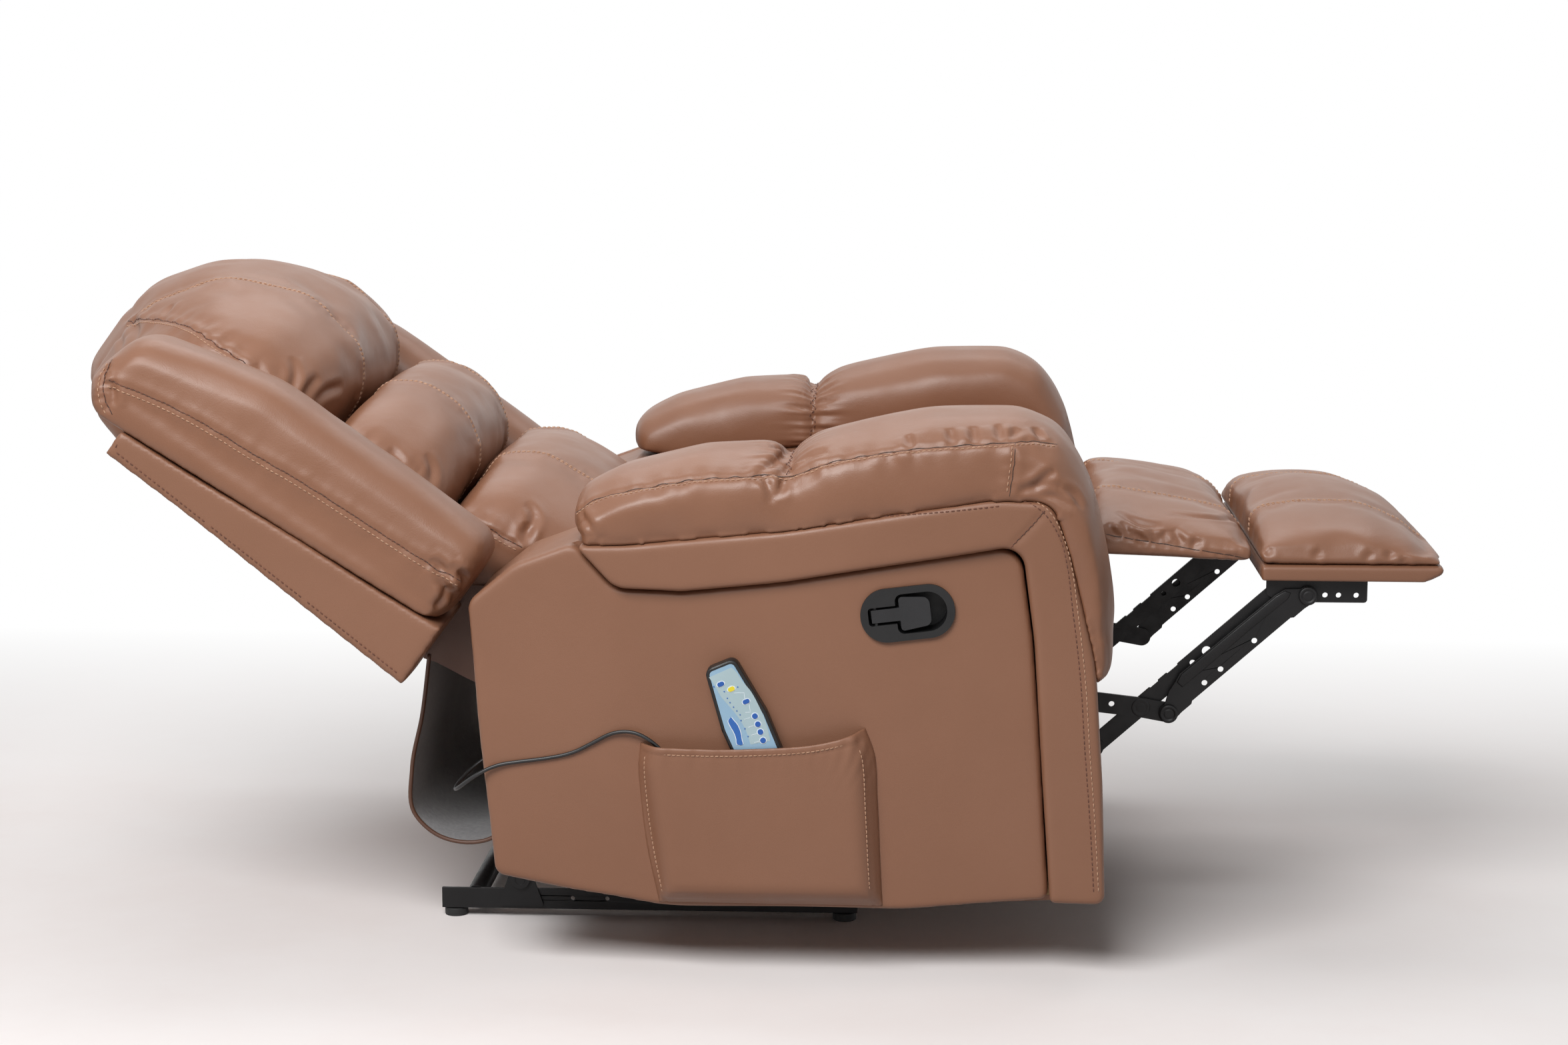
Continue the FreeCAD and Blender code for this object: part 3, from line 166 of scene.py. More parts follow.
def remeshed(name, source, voxel, rounds, hull=False):
    """A solid's shape as one even skin of that grain, its edges rounded over."""
    bm = bmesh.new()
    bm.from_mesh(source.data)
    bmesh.ops.remove_doubles(bm, verts=bm.verts, dist=weld_gap)
    if hull:
        found = bmesh.ops.convex_hull(bm, input=bm.verts)
        inside = [g for g in found["geom_interior"] if isinstance(g, bmesh.types.BMVert)]
        bmesh.ops.delete(bm, geom=inside, context="VERTS")
    mesh = bpy.data.meshes.new(name)
    bm.to_mesh(mesh)
    bm.free()
    obj = link(name, mesh)
    grid = obj.modifiers.new("grain", "REMESH")
    grid.mode = "VOXEL"
    grid.voxel_size = voxel
    bake_modifiers(obj)
    set_points(obj.data, relax(points_of(obj.data), edges_of(obj.data), rounds))
    shade_smooth(obj.data)
    return obj


def finer(obj):
    """One round of subdivision, applied."""
    fine = obj.modifiers.new("fine", "SUBSURF")
    fine.levels = 1
    bake_modifiers(obj)
    shade_smooth(obj.data)


def mirrored(obj, name):
    """The same piece on the other side of the chair."""
    mesh = obj.data.copy()
    mesh.name = name
    set_points(mesh, points_of(mesh) * (1, -1, 1))
    mesh.flip_normals()
    mesh.update()
    return link(name, mesh)


def tree_of(obj):
    """A search tree of the object's surface."""
    bm = bmesh.new()
    bm.from_mesh(obj.data)
    tree = BVHTree.FromBMesh(bm)
    bm.free()
    return tree


class Batch:
    """Points and faces gathered for one mesh, with the number of each face's material."""

    def __init__(self, points=(), faces=(), slots=()):
        self.points = list(points)
        self.faces = list(faces)
        self.slots = list(slots)

    def add(self, points, faces, slot=0):
        start = len(self.points)
        self.points += np.asarray(points).tolist()
        self.faces += [tuple(start + i for i in face) for face in faces]
        self.slots += [slot] * len(faces)


def new_piece(name, batch, materials, body=None, smooth=True):
    """A piece from its points and faces, riding on its body."""
    mesh = bpy.data.meshes.new(name)
    mesh.from_pydata(batch.points, [], batch.faces)
    for material in materials:
        mesh.materials.append(material)
    if batch.slots:
        mesh.polygons.foreach_set("material_index", batch.slots)
    if smooth:
        shade_smooth(mesh)
    made = link(name, mesh)
    if body:
        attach(made, body)
    return made


def tube_mesh(rings):
    """Points and faces of a closed skin over a run of rings."""
    sides = len(rings[0])
    faces = []
    for i in range(len(rings) - 1):
        for j in range(sides):
            k = (j + 1) % sides
            faces.append((i * sides + j, i * sides + k, (i + 1) * sides + k, (i + 1) * sides + j))
    last = (len(rings) - 1) * sides
    faces.append(tuple(reversed(range(sides))))
    faces.append(tuple(range(last, last + sides)))
    return np.concatenate(rings), faces


def sheet_faces(rows, columns):
    """Faces of a thin sheet of two grids, and which side each is on."""
    back = rows * columns
    faces = []
    sides = []
    for i in range(rows - 1):
        for j in range(columns - 1):
            a = i * columns + j
            faces.append((a, a + 1, a + columns + 1, a + columns))
            faces.append((back + a, back + a + columns, back + a + columns + 1, back + a + 1))
            sides += [0, 1]
    rims = [(i * columns + j, columns, flip)
            for i in range(rows - 1) for j, flip in ((0, False), (columns - 1, True))]
    rims += [(i * columns + j, 1, flip)
             for j in range(columns - 1) for i, flip in ((0, True), (rows - 1, False))]
    for a, step, flip in rims:
        ring = (a, a + step, back + a + step, back + a)
        faces.append(ring[::-1] if flip else ring)
        sides.append(1)
    return faces, sides


def turn(sides):
    """The cosines and sines of that many even steps round."""
    angles = [2 * math.pi * i / sides for i in range(sides)]
    return [(math.cos(a), math.sin(a)) for a in angles]


# Places on the reclined back: along it from its hinge, and out towards the sitter

def back_place(along, out, y):
    x = back_pivot[0] - along * math.cos(back_lean) + out * math.sin(back_lean)
    z = back_pivot[1] + along * math.sin(back_lean) + out * math.cos(back_lean)
    return (x, y, z)


def back_along(co):
    x, z = co[..., 0] - back_pivot[0], co[..., 2] - back_pivot[1]
    return z * math.sin(back_lean) - x * math.cos(back_lean)


def back_out(co):
    x, z = co[..., 0] - back_pivot[0], co[..., 2] - back_pivot[1]
    return x * math.sin(back_lean) + z * math.cos(back_lean)


# Seams, folds and stitches

class Line:
    """A line lying on a piece's surface: its points, the surface's normals there and its run."""

    def __init__(self, points, normals):
        self.points = np.array(points, float)
        self.normals = np.array(normals, float)
        steps = np.linalg.norm(np.diff(self.points, axis=0), axis=1)
        self.run = np.concatenate([[0], np.cumsum(steps)])

    def resampled(self, step):
        """The same line with points that far apart."""
        at = np.linspace(0, self.run[-1], max(int(self.run[-1] / step), 2) + 1)
        points, normals = (np.stack([np.interp(at, self.run, rows[:, k]) for k in range(3)], 1)
                           for rows in (self.points, self.normals))
        return Line(points, unit(normals))

    def smoothed(self, rounds):
        """The same line with its small steps evened out."""
        points = self.points.copy()
        normals = self.normals.copy()
        for _ in range(rounds):
            for rows in (points, normals):
                rows[1:-1] = (rows[:-2] + rows[1:-1] * 2 + rows[2:]) / 4
        return Line(points, unit(normals))

    def tangents(self):
        """The line's direction at each point."""
        return unit(np.gradient(self.points, axis=0))

    def sideways(self):
        """The direction along the surface and square to the line at each point."""
        return np.cross(self.normals, self.tangents())

    def mirrored(self):
        """The same line on the other side of the chair, run the same way round its piece."""
        return Line(self.points[::-1] * (1, -1, 1), self.normals[::-1] * (1, -1, 1))


def mirror_lines(lines):
    return [line.mirrored() for line in lines]


def both(lines):
    """Those lines and their mirror images."""
    return lines + mirror_lines(lines)


def plane_line(obj, place, square, keep):
    """The longest stretch of the cut of a plane through the piece, where keep says so."""
    bm = bmesh.new()
    bm.from_mesh(obj.data)
    every = bm.verts[:] + bm.edges[:] + bm.faces[:]
    cut = bmesh.ops.bisect_plane(bm, geom=every, plane_co=place, plane_no=square, dist=cut_slack)
    joined = {}
    for edge in cut["geom_cut"]:
        if isinstance(edge, bmesh.types.BMEdge):
            a, b = edge.verts
            joined.setdefault(a, []).append(b)
            joined.setdefault(b, []).append(a)
    left = dict.fromkeys(v for v in joined if keep(np.array(v.co)))
    best = []
    while left:
        chain = [next(iter(left))]
        del left[chain[0]]
        for end in (0, -1):
            while following := [v for v in joined[chain[end]] if v in left]:
                del left[following[0]]
                chain.insert(len(chain) if end else 0, following[0])
        best = max(best, chain, key=len)
    points = [tuple(v.co) for v in best]
    bm.free()
    if points[0][0] > points[-1][0]:
        points.reverse()
    tree = tree_of(obj)
    normals = [tree.find_nearest(Vector(p))[1] for p in points]
    return Line(points, normals).resampled(coarse_step).smoothed(4).resampled(line_step)


def curve_points(corners, step=coarse_step):
    """Points along a smooth curve through those corners."""
    corners = np.array(corners, float)
    runs = np.concatenate([[0], np.cumsum(np.linalg.norm(np.diff(corners, axis=0), axis=1))])
    if len(corners) == 2:
        count = max(int(runs[-1] / step), 2)
        return corners[0] + (corners[1] - corners[0]) * np.linspace(0, 1, count + 1)[:, None]
    at = np.linspace(0, runs[-1], max(int(runs[-1] / step), 4))
    slopes = np.gradient(corners, runs, axis=0)
    i = np.clip(np.searchsorted(runs, at) - 1, 0, len(corners) - 2)
    h = (runs[i + 1] - runs[i])[:, None]
    u = (at - runs[i])[:, None] / h
    return (corners[i] * (1 + 2 * u) * (1 - u) ** 2 + slopes[i] * h * u * (1 - u) ** 2
            + corners[i + 1] * u * u * (3 - 2 * u) + slopes[i + 1] * h * u * u * (u - 1))


def struck_line(obj, rays, y=None):
    """The line where rays of (start, way) first meet the piece, near the plane y where that is given."""
    tree = tree_of(obj)
    hits = [tree.ray_cast(start, way)[:2] for start, way in rays]
    hits = [(tuple(p), tuple(n)) for p, n in hits
            if p is not None and (y is None or abs(p.y - y) < sight_slack)]
    return Line(*zip(*hits)).smoothed(3).resampled(line_step) if len(hits) > 2 else None


def cast_line(obj, corners, way):
    """The line that those corners throw onto the piece's surface along a direction."""
    way = Vector(way)
    return struck_line(obj, [(Vector(p) - way * cast_room, way) for p in curve_points(corners)])


def sight_line(obj, corners, y):
    """The line where those places (x, z) in mm, seen from the photograph's viewpoint, lie on the piece."""
    start = Vector(eye)
    places = curve_points(np.array(corners) * mm)
    return struck_line(obj, [(start, (Vector((x, y, z)) - start).normalized()) for x, z in places], y)


def fold_lines(obj, rows, y):
    """Those of the short folds that lie on the piece."""
    found = [sight_line(obj, places, y) for places in rows]
    return [line for line in found if line is not None]


def near_line(co, line, reach):
    """For each point near the line: its number, its distance, its run along and its side."""
    inside = np.nonzero(((co > line.points.min(0) - reach) & (co < line.points.max(0) + reach)).all(1))[0]
    tree = KDTree(len(line.points))
    for i, p in enumerate(line.points):
        tree.insert(p, i)
    tree.balance()
    found = [tree.find(co[i]) for i in inside]
    spots = np.array([spot for _, spot, _ in found], int)
    gaps = np.array([gap for _, _, gap in found], float)
    kept = gaps < reach
    inside, spots, gaps = inside[kept], spots[kept], gaps[kept]
    side = np.einsum("ij,ij->i", co[inside] - line.points[spots], line.sideways()[spots])
    return inside, gaps, line.run[spots], side


def wave(run, length, seed):
    """An uneven ripple along a run, from -1 to 1, of about that wavelength."""
    rng = np.random.default_rng(seed)
    total = np.zeros_like(run)
    for _ in range(wave_count):
        stretch = length * rng.uniform(0.6, 1.7)
        total += np.sin(2 * math.pi * run / stretch + rng.uniform(0, 2 * math.pi))
    return np.clip(total / wave_scale, -1, 1)


def sew(obj, lines, depth, width, pucker, reach, length, seed):
    """Draw the surface in along its seams, with small puckers square to them."""
    co = points_of(obj.data)
    move = np.zeros(len(co))
    for k, line in enumerate(lines):
        which, gaps, run, side = near_line(co, line, reach)
        ends = np.clip(np.minimum(run, line.run[-1] - run) / end_fade, 0, 1)
        pull = -depth * np.exp(-(gaps / width) ** 2)
        ripple = ripple_share * wave(run, length, seed + 7 * k) * np.sign(side)
        ripple += fine_share * wave(run, length * fine_length_share, seed + 7 * k + 3)
        falls = np.exp(-((gaps - width) / (reach * reach_share)) ** 2)
        move[which] += (pull + pucker * ripple * falls) * ends
    set_points(obj.data, co + normals_of(obj.data) * move[:, None])


def fold(obj, lines, depth, width):
    """Press a crease into the surface along each line, with a soft ridge on both sides."""
    co = points_of(obj.data)
    move = np.zeros(len(co))
    for line in lines:
        which, gaps, run, _ = near_line(co, line, width * fold_reach_share)
        taper = np.sin(math.pi * np.clip(run / line.run[-1], 0, 1)) ** taper_power
        crease = -depth * np.exp(-(gaps / width) ** 2)
        swell = depth * ridge_share * np.exp(-((gaps - 2 * width) / width) ** 2)
        move[which] += (crease + swell) * taper
    set_points(obj.data, co + normals_of(obj.data) * move[:, None])


def billow(obj, amount, size, seed):
    """Slight soft unevenness all over a surface."""
    rng = np.random.default_rng(seed)
    co = points_of(obj.data)
    move = np.zeros(len(co))
    for _ in range(billow_count):
        way = rng.normal(size=3)
        way /= np.linalg.norm(way)
        stretch = size * rng.uniform(0.6, 1.6)
        move += np.sin(co @ way * 2 * math.pi / stretch + rng.uniform(0, 2 * math.pi))
    set_points(obj.data, co + normals_of(obj.data) * move[:, None] * amount / 3)


def puff(obj, held, inset, slack=0.012, calm=10):
    """Let the skin swell from a slightly smaller shape, held where it is sewn or rests, and even it out."""
    pairs = edges_of(obj.data)
    free = relax(1 - held.astype(float)[:, None], pairs, hold_rounds) * (1 - held[:, None])
    co = points_of(obj.data) - normals_of(obj.data) * free * inset
    set_points(obj.data, co)
    group = obj.vertex_groups.new(name="held")
    group.add([int(i) for i in np.nonzero(held)[0]], 1, "REPLACE")
    cloth = obj.modifiers.new("cloth", "CLOTH")
    settings = cloth.settings
    settings.quality = 4
    settings.mass = 0.35
    settings.tension_stiffness = 18
    settings.compression_stiffness = 14
    settings.bending_stiffness = 2.5
    settings.use_pressure = True
    settings.uniform_pressure_force = swell_pressure
    settings.shrink_min = -slack
    settings.vertex_group_mass = "held"
    settings.effector_weights.gravity = 0
    cloth.collision_settings.use_collision = False
    cloth.point_cache.frame_start = 1
    cloth.point_cache.frame_end = swell_frames
    for f in range(1, swell_frames + 1):
        scene.frame_set(f)
    graph = bpy.context.evaluated_depsgraph_get()
    move = points_of(obj.evaluated_get(graph).to_mesh()) - co
    obj.modifiers.clear()
    obj.vertex_groups.clear()
    scene.frame_set(1)
    move *= np.minimum(1, swell_cap / np.maximum(np.linalg.norm(move, axis=1), least))[:, None]
    move = relax(move, pairs, calm) * (1 - held[:, None])
    set_points(obj.data, relax(co + move, pairs, 2))


def settle(obj, support, reach):
    """Let a pad down on its support where it closely faces it, so that no gap shows between them."""
    tree = tree_of(support)
    co = points_of(obj.data)
    normals = normals_of(obj.data)
    pairs = edges_of(obj.data)
    gaps = np.zeros((len(co), 1))
    for i, (p, n) in enumerate(zip(co, normals)):
        gap = tree.ray_cast(Vector(p), Vector(n), reach)[3]
        if gap is not None:
            gaps[i] = gap
    gaps = np.maximum(gaps, relax(gaps, pairs, 12))
    set_points(obj.data, co + normals * relax(gaps, pairs, 2))


def close_to(obj, lines, reach):
    """Which of the piece's points lie that near to one of the lines."""
    co = points_of(obj.data)
    found = np.zeros(len(co), bool)
    for line in lines:
        found[near_line(co, line, reach)[0]] = True
    return found


def shifted(tree, line, across):
    """The same line moved sideways over the surface."""
    hits = [tree.find_nearest(Vector(p + side * across))[:2]
            for p, side in zip(line.points, line.sideways())]
    return Line(*zip(*hits)).smoothed(2)


def stitches(name, obj, lines, body, rows, crease=True, pitch=stitch_pitch):
    """Rows of thread along each seam, given as (distance to its side, colour), and its dark line of painted
    seam shadow.
    """
    tree = tree_of(obj)
    batch = Batch()
    ways = turn(stitch_sides)
    for line in lines:
        for row, colour in rows:
            thread = shifted(tree, line, row).resampled(pitch)
            places = list(zip(thread.points, thread.normals, thread.tangents(), thread.sideways()))
            for p, n, t, side in places[1:-1]:
                rings = []
                for along, up, share in stitch_sections:
                    middle = p + t * along * stitch_length + n * up * stitch_radius
                    rings.append([middle + (side * c + n * s) * stitch_radius * share for c, s in ways])
                batch.add(*tube_mesh(rings), colour)
        # The dark line: a tube of painted shadow laid along the seam's groove
        if crease:
            seam = shifted(tree, line, 0).resampled(coarse_step)
            rings = [[p + (side * c + n * s / 2) * seam_shadow_radius for c, s in ways]
                     for p, n, side in zip(seam.points, seam.normals, seam.sideways())]
            batch.add(*tube_mesh(rings), 2)
    return new_piece(name, batch, (tan_thread, brown_thread, seam_shadow_paint), body)




# Materials

def rgb(*colour):
    """A colour as it is seen on a screen, 0 to 255, as the shader wants it."""
    shares = [value / 255 for value in colour]
    return (*(s / 12.92 if s <= 0.04045 else ((s + 0.055) / 1.055) ** 2.4 for s in shares), 1)


def math_node(tree, operation, first, second):
    """What a sum of two sources gives."""
    made = tree.nodes.new("ShaderNodeMath")
    made.operation = operation
    tree.links.new(first, made.inputs[0])
    tree.links.new(second, made.inputs[1])
    return made.outputs["Value"]


def mix_node(tree, share, first, second):
    """A shader that goes from the first to the second as the share rises."""
    made = tree.nodes.new("ShaderNodeMixShader")
    for source, socket in zip((share, first, second), made.inputs):
        tree.links.new(source, socket)
    return made.outputs["Shader"]


class Paint:
    """A material under construction: its node tree and helpers."""

    def __init__(self, name):
        self.material = bpy.data.materials.new(name)
        self.material.use_nodes = True
        self.tree = self.material.node_tree
        self.shader = self.tree.nodes["Principled BSDF"]
        self.place = self.tree.nodes.new("ShaderNodeTexCoord").outputs["Object"]

    def node(self, kind, place=None, **sockets):
        made = self.tree.nodes.new(kind)
        for name, value in sockets.items():
            made.inputs[name.replace("_", " ")].default_value = value
        if place:
            self.join(place, made.inputs["Vector"])
        return made

    def join(self, source, target):
        self.tree.links.new(source, target)

    def set(self, **sockets):
        for name, value in sockets.items():
            self.shader.inputs[name.replace("_", " ")].default_value = value

    def noise(self, scale, detail=3, roughness=0.55, distortion=0):
        made = self.node("ShaderNodeTexNoise", self.place, Scale=scale, Detail=detail, Roughness=roughness,
                         Distortion=distortion)
        return made.outputs["Fac"]

    def range(self, source, low, high, from_low, from_high):
        made = self.node("ShaderNodeMapRange", From_Min=from_low, From_Max=from_high,
                         To_Min=low, To_Max=high)
        self.join(source, made.inputs["Value"])
        return made.outputs["Result"]

    def colour(self, source, dark, light, low=0.3, high=0.7):
        """Colour that goes from dark to light as the source rises."""
        made = self.tree.nodes.new("ShaderNodeValToRGB")
        for spot, place, tone in zip(made.color_ramp.elements, (low, high), (dark, light)):
            spot.position = place
            spot.color = rgb(*tone)
        self.join(source, made.inputs["Fac"])
        self.join(made.outputs["Color"], self.shader.inputs["Base Color"])

    def roughness(self, source, span):
        """Roughness that varies over a span as the source does."""
        self.join(self.range(source, *span, 0.3, 0.7), self.shader.inputs["Roughness"])

    def relief(self, *layers):
        """Bumps of (source, strength, distance), each over the one before."""
        under = None
        for source, strength, distance in layers:
            made = self.node("ShaderNodeBump", Strength=strength, Distance=distance)
            self.join(source, made.inputs["Height"])
            if under:
                self.join(under, made.inputs["Normal"])
            under = made.outputs["Normal"]
        self.join(under, self.shader.inputs["Normal"])


def leather(name, light, dark, span=(0.36, 0.5), crumple=0.25):
    """Soft coated leather: fine pebbled grain, slight creasing and a little change of tone."""
    paint = Paint(name)
    paint.colour(paint.noise(3.2, 4, 0.6), dark, light)
    paint.roughness(paint.noise(14), span)
    paint.set(Specular_IOR_Level=0.5, Coat_Weight=0.06, Coat_Roughness=0.35)
    pebbles = paint.node("ShaderNodeTexVoronoi", paint.place, Scale=780).outputs["Distance"]
    paint.relief((paint.noise(38, 5, 0.6, 0.6), crumple, 0.0016), (pebbles, 0.22, 0.00035),
                 (paint.noise(1500, 2), 0.16, 0.0002))
    return paint.material


def thread(name, light, dark):
    """Twisted sewing thread."""
    paint = Paint(name)
    paint.colour(paint.noise(60, 2), dark, light, 0.35, 0.65)
    paint.set(Roughness=0.7, Sheen_Weight=0.2)
    paint.relief((paint.noise(2600, 2), 0.5, 0.0003))
    return paint.material


def moulded(name, light, dark, span, grain, strength, shine=0.5):
    """Moulded plastic, rubber, paint or painted steel with a fine texture."""
    paint = Paint(name)
    paint.colour(paint.noise(22, 4), dark, light)
    paint.roughness(paint.noise(55, 4), span)
    paint.set(Specular_IOR_Level=shine)
    paint.relief((paint.noise(grain), strength, 0.0003))
    return paint.material


def wood(name, light, dark):
    """Plain sawn board with grain."""
    paint = Paint(name)
    stretch = paint.node("ShaderNodeMapping", paint.place, Scale=(1.5, 22, 22)).outputs["Vector"]
    grain = paint.node("ShaderNodeTexNoise", stretch, Scale=5, Detail=6, Distortion=1.2).outputs["Fac"]
    paint.colour(grain, dark, light)
    paint.set(Roughness=0.72)
    paint.relief((grain, 0.2, 0.0006))
    return paint.material


def felt(name, light, dark):
    """Napped grey lining cloth."""
    paint = Paint(name)
    paint.colour(paint.noise(190, 5, 0.7), dark, light)
    paint.set(Roughness=0.95, Sheen_Weight=0.35, Sheen_Roughness=0.6)
    paint.relief((paint.noise(900, 4, 0.8), 0.6, 0.0008))
    return paint.material


def woven(name, light, dark):
    """Elastic webbing with crossed threads."""
    paint = Paint(name)
    waves = []
    for direction in ("X", "Y"):
        made = paint.node("ShaderNodeTexWave", paint.place, Scale=90, Distortion=0.4, Detail=1)
        made.bands_direction = direction
        waves.append(made.outputs["Fac"])
    crossed = math_node(paint.tree, "MULTIPLY", *waves)
    paint.colour(crossed, dark, light, 0.1)
    paint.set(Roughness=0.85)
    paint.relief((crossed, 0.6, 0.0006))
    return paint.material


brown = leather("brown_leather", (138, 95, 71), (129, 87, 64))
brown_flat = leather("brown_leather_flat", (138, 96, 73), (130, 89, 66), (0.42, 0.54), 0.1)
# Darker leather, for the skirt's binding and for the back lining, where the dark tone is painted shade
binding_and_shade_leather = leather("binding_and_shade_leather", (96, 62, 45), (84, 54, 39), (0.42, 0.54), 0.1)
# A dark tube along seams, made with the thread's shader, as painted shadow of the seam's groove
seam_shadow_paint = thread("seam_shadow", (62, 38, 27), (44, 26, 18))
tan_thread = thread("tan_thread", (192, 152, 124), (174, 134, 108))
brown_thread = thread("brown_thread", (112, 66, 46), (88, 50, 34))
black_steel = moulded("black_steel", (27, 26, 27), (17, 17, 18), (0.34, 0.52), 420, 0.25, 0.3)
black_plastic = moulded("black_plastic", (24, 24, 25), (17, 17, 18), (0.36, 0.5), 1300, 0.35, 0.4)
lever_plastic = moulded("lever_plastic", (38, 38, 40), (27, 27, 29), (0.48, 0.6), 900, 0.8, 0.4)
black_rubber = moulded("black_rubber", (32, 32, 32), (22, 22, 22), (0.6, 0.75), 700, 0.4)
cord_rubber = moulded("cord_rubber", (26, 26, 27), (18, 18, 19), (0.32, 0.42), 500, 0.12)
face_blue = moulded("face_blue", (150, 184, 208), (146, 180, 206), (0.3, 0.36), 200, 0.05)
face_grey = moulded("face_grey", (176, 198, 204), (170, 192, 198), (0.3, 0.36), 200, 0.05)
button_blue = moulded("button_blue", (40, 96, 178), (34, 86, 166), (0.4, 0.5), 400, 0.1)
button_yellow = moulded("button_yellow", (238, 222, 60), (230, 212, 50), (0.4, 0.5), 400, 0.1)
print_white = moulded("print_white", (232, 240, 244), (224, 234, 240), (0.4, 0.5), 300, 0.05)
print_blue = moulded("print_blue", (52, 108, 184), (44, 98, 174), (0.4, 0.5), 300, 0.05)
grey_felt = felt("grey_felt", (130, 129, 131), (98, 97, 99))
raw_wood = wood("raw_wood", (196, 164, 120), (150, 116, 78))
webbing = woven("webbing", (70, 68, 66), (24, 24, 24))


def dress(name, material, bevel):
    """Give a CAD node its finish, and take the edge off its corners."""
    obj = nodes[name]
    obj.data.materials.clear()
    obj.data.materials.append(material)
    if bevel:
        weld = obj.modifiers.new("weld", "WELD")
        weld.merge_threshold = weld_gap
        edge = obj.modifiers.new("edge", "BEVEL")
        edge.width = bevel
        edge.segments = 2
        edge.limit_method = "ANGLE"
        edge.angle_limit = math.radians(40)
        edge.harden_normals = True


def cover(obj, node, body, material):
    """A finished piece takes a node's place on its body."""
    obj.data.materials.clear()
    obj.data.materials.append(material)
    if body:
        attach(obj, body)
    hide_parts(node)
    return obj


# Camera, as the photograph was taken
camera = bpy.data.objects.new("camera", bpy.data.cameras.new("camera"))
scene.collection.objects.link(camera)
scene.camera = camera
camera.location = eye
camera.rotation_euler = (math.radians(90 - 9.07), 0, math.radians(2.93))
camera.data.lens = 67.8
camera.data.sensor_width = 36


# Handset cord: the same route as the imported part's, from the handset's foot to the arm's rear
cord_route = [
    (55.5, -448.5, 211.8), (62, -448.5, 196), (58, -448.6, 178), (40, -448.6, 165), (14, -448.3, 166),
    (-12, -447.8, 182), (-33, -447, 207), (-51, -446.3, 235), (-69, -446, 261), (-88, -445.4, 281),
    (-110, -444, 292), (-134, -441.2, 290), (-157, -440, 277), (-181, -439.4, 264), (-211, -439, 257.5),
    (-243, -439.2, 253.5), (-270, -441, 249.5), (-293, -444, 238), (-312, -439, 223), (-322, -421, 214),
    (-321, -399, 217), (-311, -380, 227), (-296, -368, 238), (-286.5, -364.5, 243),
]
cord_radius = 0.00225
cord_curve = bpy.data.curves.new("handset_lead", "CURVE")
cord_curve.dimensions = "3D"
cord_curve.bevel_depth = cord_radius
cord_curve.bevel_resolution = 4
cord_curve.resolution_u = 12
cord_curve.use_fill_caps = True
spline = cord_curve.splines.new("NURBS")
spline.points.add(len(cord_route) - 1)
for point, place in zip(spline.points, cord_route):
    point.co = (*(c * mm for c in place), 1)
spline.order_u = 3
spline.use_endpoint_u = True
cord = link("handset_lead", cord_curve)
cord_curve.materials.append(cord_rubber)
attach(cord, "chair_body")
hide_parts("handset_cord")


# Back cushions

light, dark = 0, 1
seam_rows = ((-0.0026, light), (0.0026, light))
edge_rows = ((-0.0065, light), (0, dark))
dark_row = ((0, dark),)
sewn_reach = 0.006
under_room = 0.012


def draw_end(obj, start, end, sides, amounts):
    """Round a cushion's far end: draw it back along the back by an amount that grows to its sides."""
    co = points_of(obj.data)
    share = np.clip((back_along(co) - start) / (end - start), 0, 1)
    depth = np.interp(abs(co[:, 1]), sides, amounts) * share * share * (3 - 2 * share)
    co[:, 0] += depth * math.cos(back_lean)
    co[:, 2] -= depth * math.sin(back_lean)
    set_points(obj.data, co)


def long_seams(obj, keep):
    """The two lengthwise seams of a cushion, where they show."""
    return [plane_line(obj, (0, y, 0), (0, 1, 0), keep) for y in (-seam_half_pitch, seam_half_pitch)]


def finish_cushion(obj, node, body, seams):
    """Leather and threads for a cushion."""
    cover(obj, node, body, brown)
    return stitches(node + "_stitches", obj, seams, body, seam_rows, False)


def back_cushion(node, floor_out, edge_y, edge, folds, seed, end=None):
    """A stuffed cushion of the back: its form, sewn lengthwise seams, end seams and folds."""
    obj = remeshed(node + "_soft", nodes[node], 0.006, 8)
    if end:
        draw_end(obj, *end)
    seams = long_seams(obj, lambda p: back_out(p) > floor_out)
    edges = both([sight_line(obj, edge, edge_y)])
    held = back_out(points_of(obj.data)) < floor_out - under_room
    puff(obj, held | close_to(obj, seams + edges, sewn_reach), 0.006)
    finer(obj)
    sew(obj, seams, 0.0025, 0.006, 0.0005, 0.03, 0.024, seed)
    sew(obj, edges, 0.0035, 0.006, 0.0012, 0.04, 0.026, seed + 1)
    fold(obj, both(fold_lines(obj, folds, edge_y)), 0.0032, 0.0058)
    return obj, node, "backrest", seams, edges


head_edge = [
    (-749, 736), (-737, 743), (-715, 748), (-691, 747), (-676, 744), (-652, 734), (-629, 718),
    (-600, 699), (-572, 676), (-547, 651),
]
head_folds = [
    [(-547, 650), (-537, 664), (-533, 689), (-538, 701)],
    [(-527, 640), (-520, 660), (-504, 679)],
    [(-509, 648), (-497, 660), (-475, 667)],
    [(-567, 662), (-572, 679), (-583, 693)],
    [(-749, 736), (-742, 721), (-745, 707)],
    [(-727, 745), (-723, 736), (-725, 721)],
    [(-695, 748), (-685, 757), (-680, 764)],
]
mid_edge = [
    (-522, 637), (-503, 629), (-474, 613), (-441, 591), (-408, 568), (-382, 548),
]
mid_folds = [
    [(-372, 548), (-367, 568), (-376, 587)],
    [(-503, 632), (-489, 634), (-470, 630)],
    [(-396, 560), (-408, 580), (-422, 592)],
]
low_edge = [
    (-362, 530), (-338, 516), (-314, 501), (-290, 487), (-263, 472),
]
low_folds = [
    [(-263, 475), (-255, 487), (-258, 504)],
    [(-270, 487), (-251, 497), (-248, 516), (-259, 527)],
]
head_end = (0.42, 0.69, (0, 0.06, 0.12, 0.16, 0.2, 0.25, 0.3), (0, 0.005, 0.022, 0.030, 0.035, 0.032, 0.024))
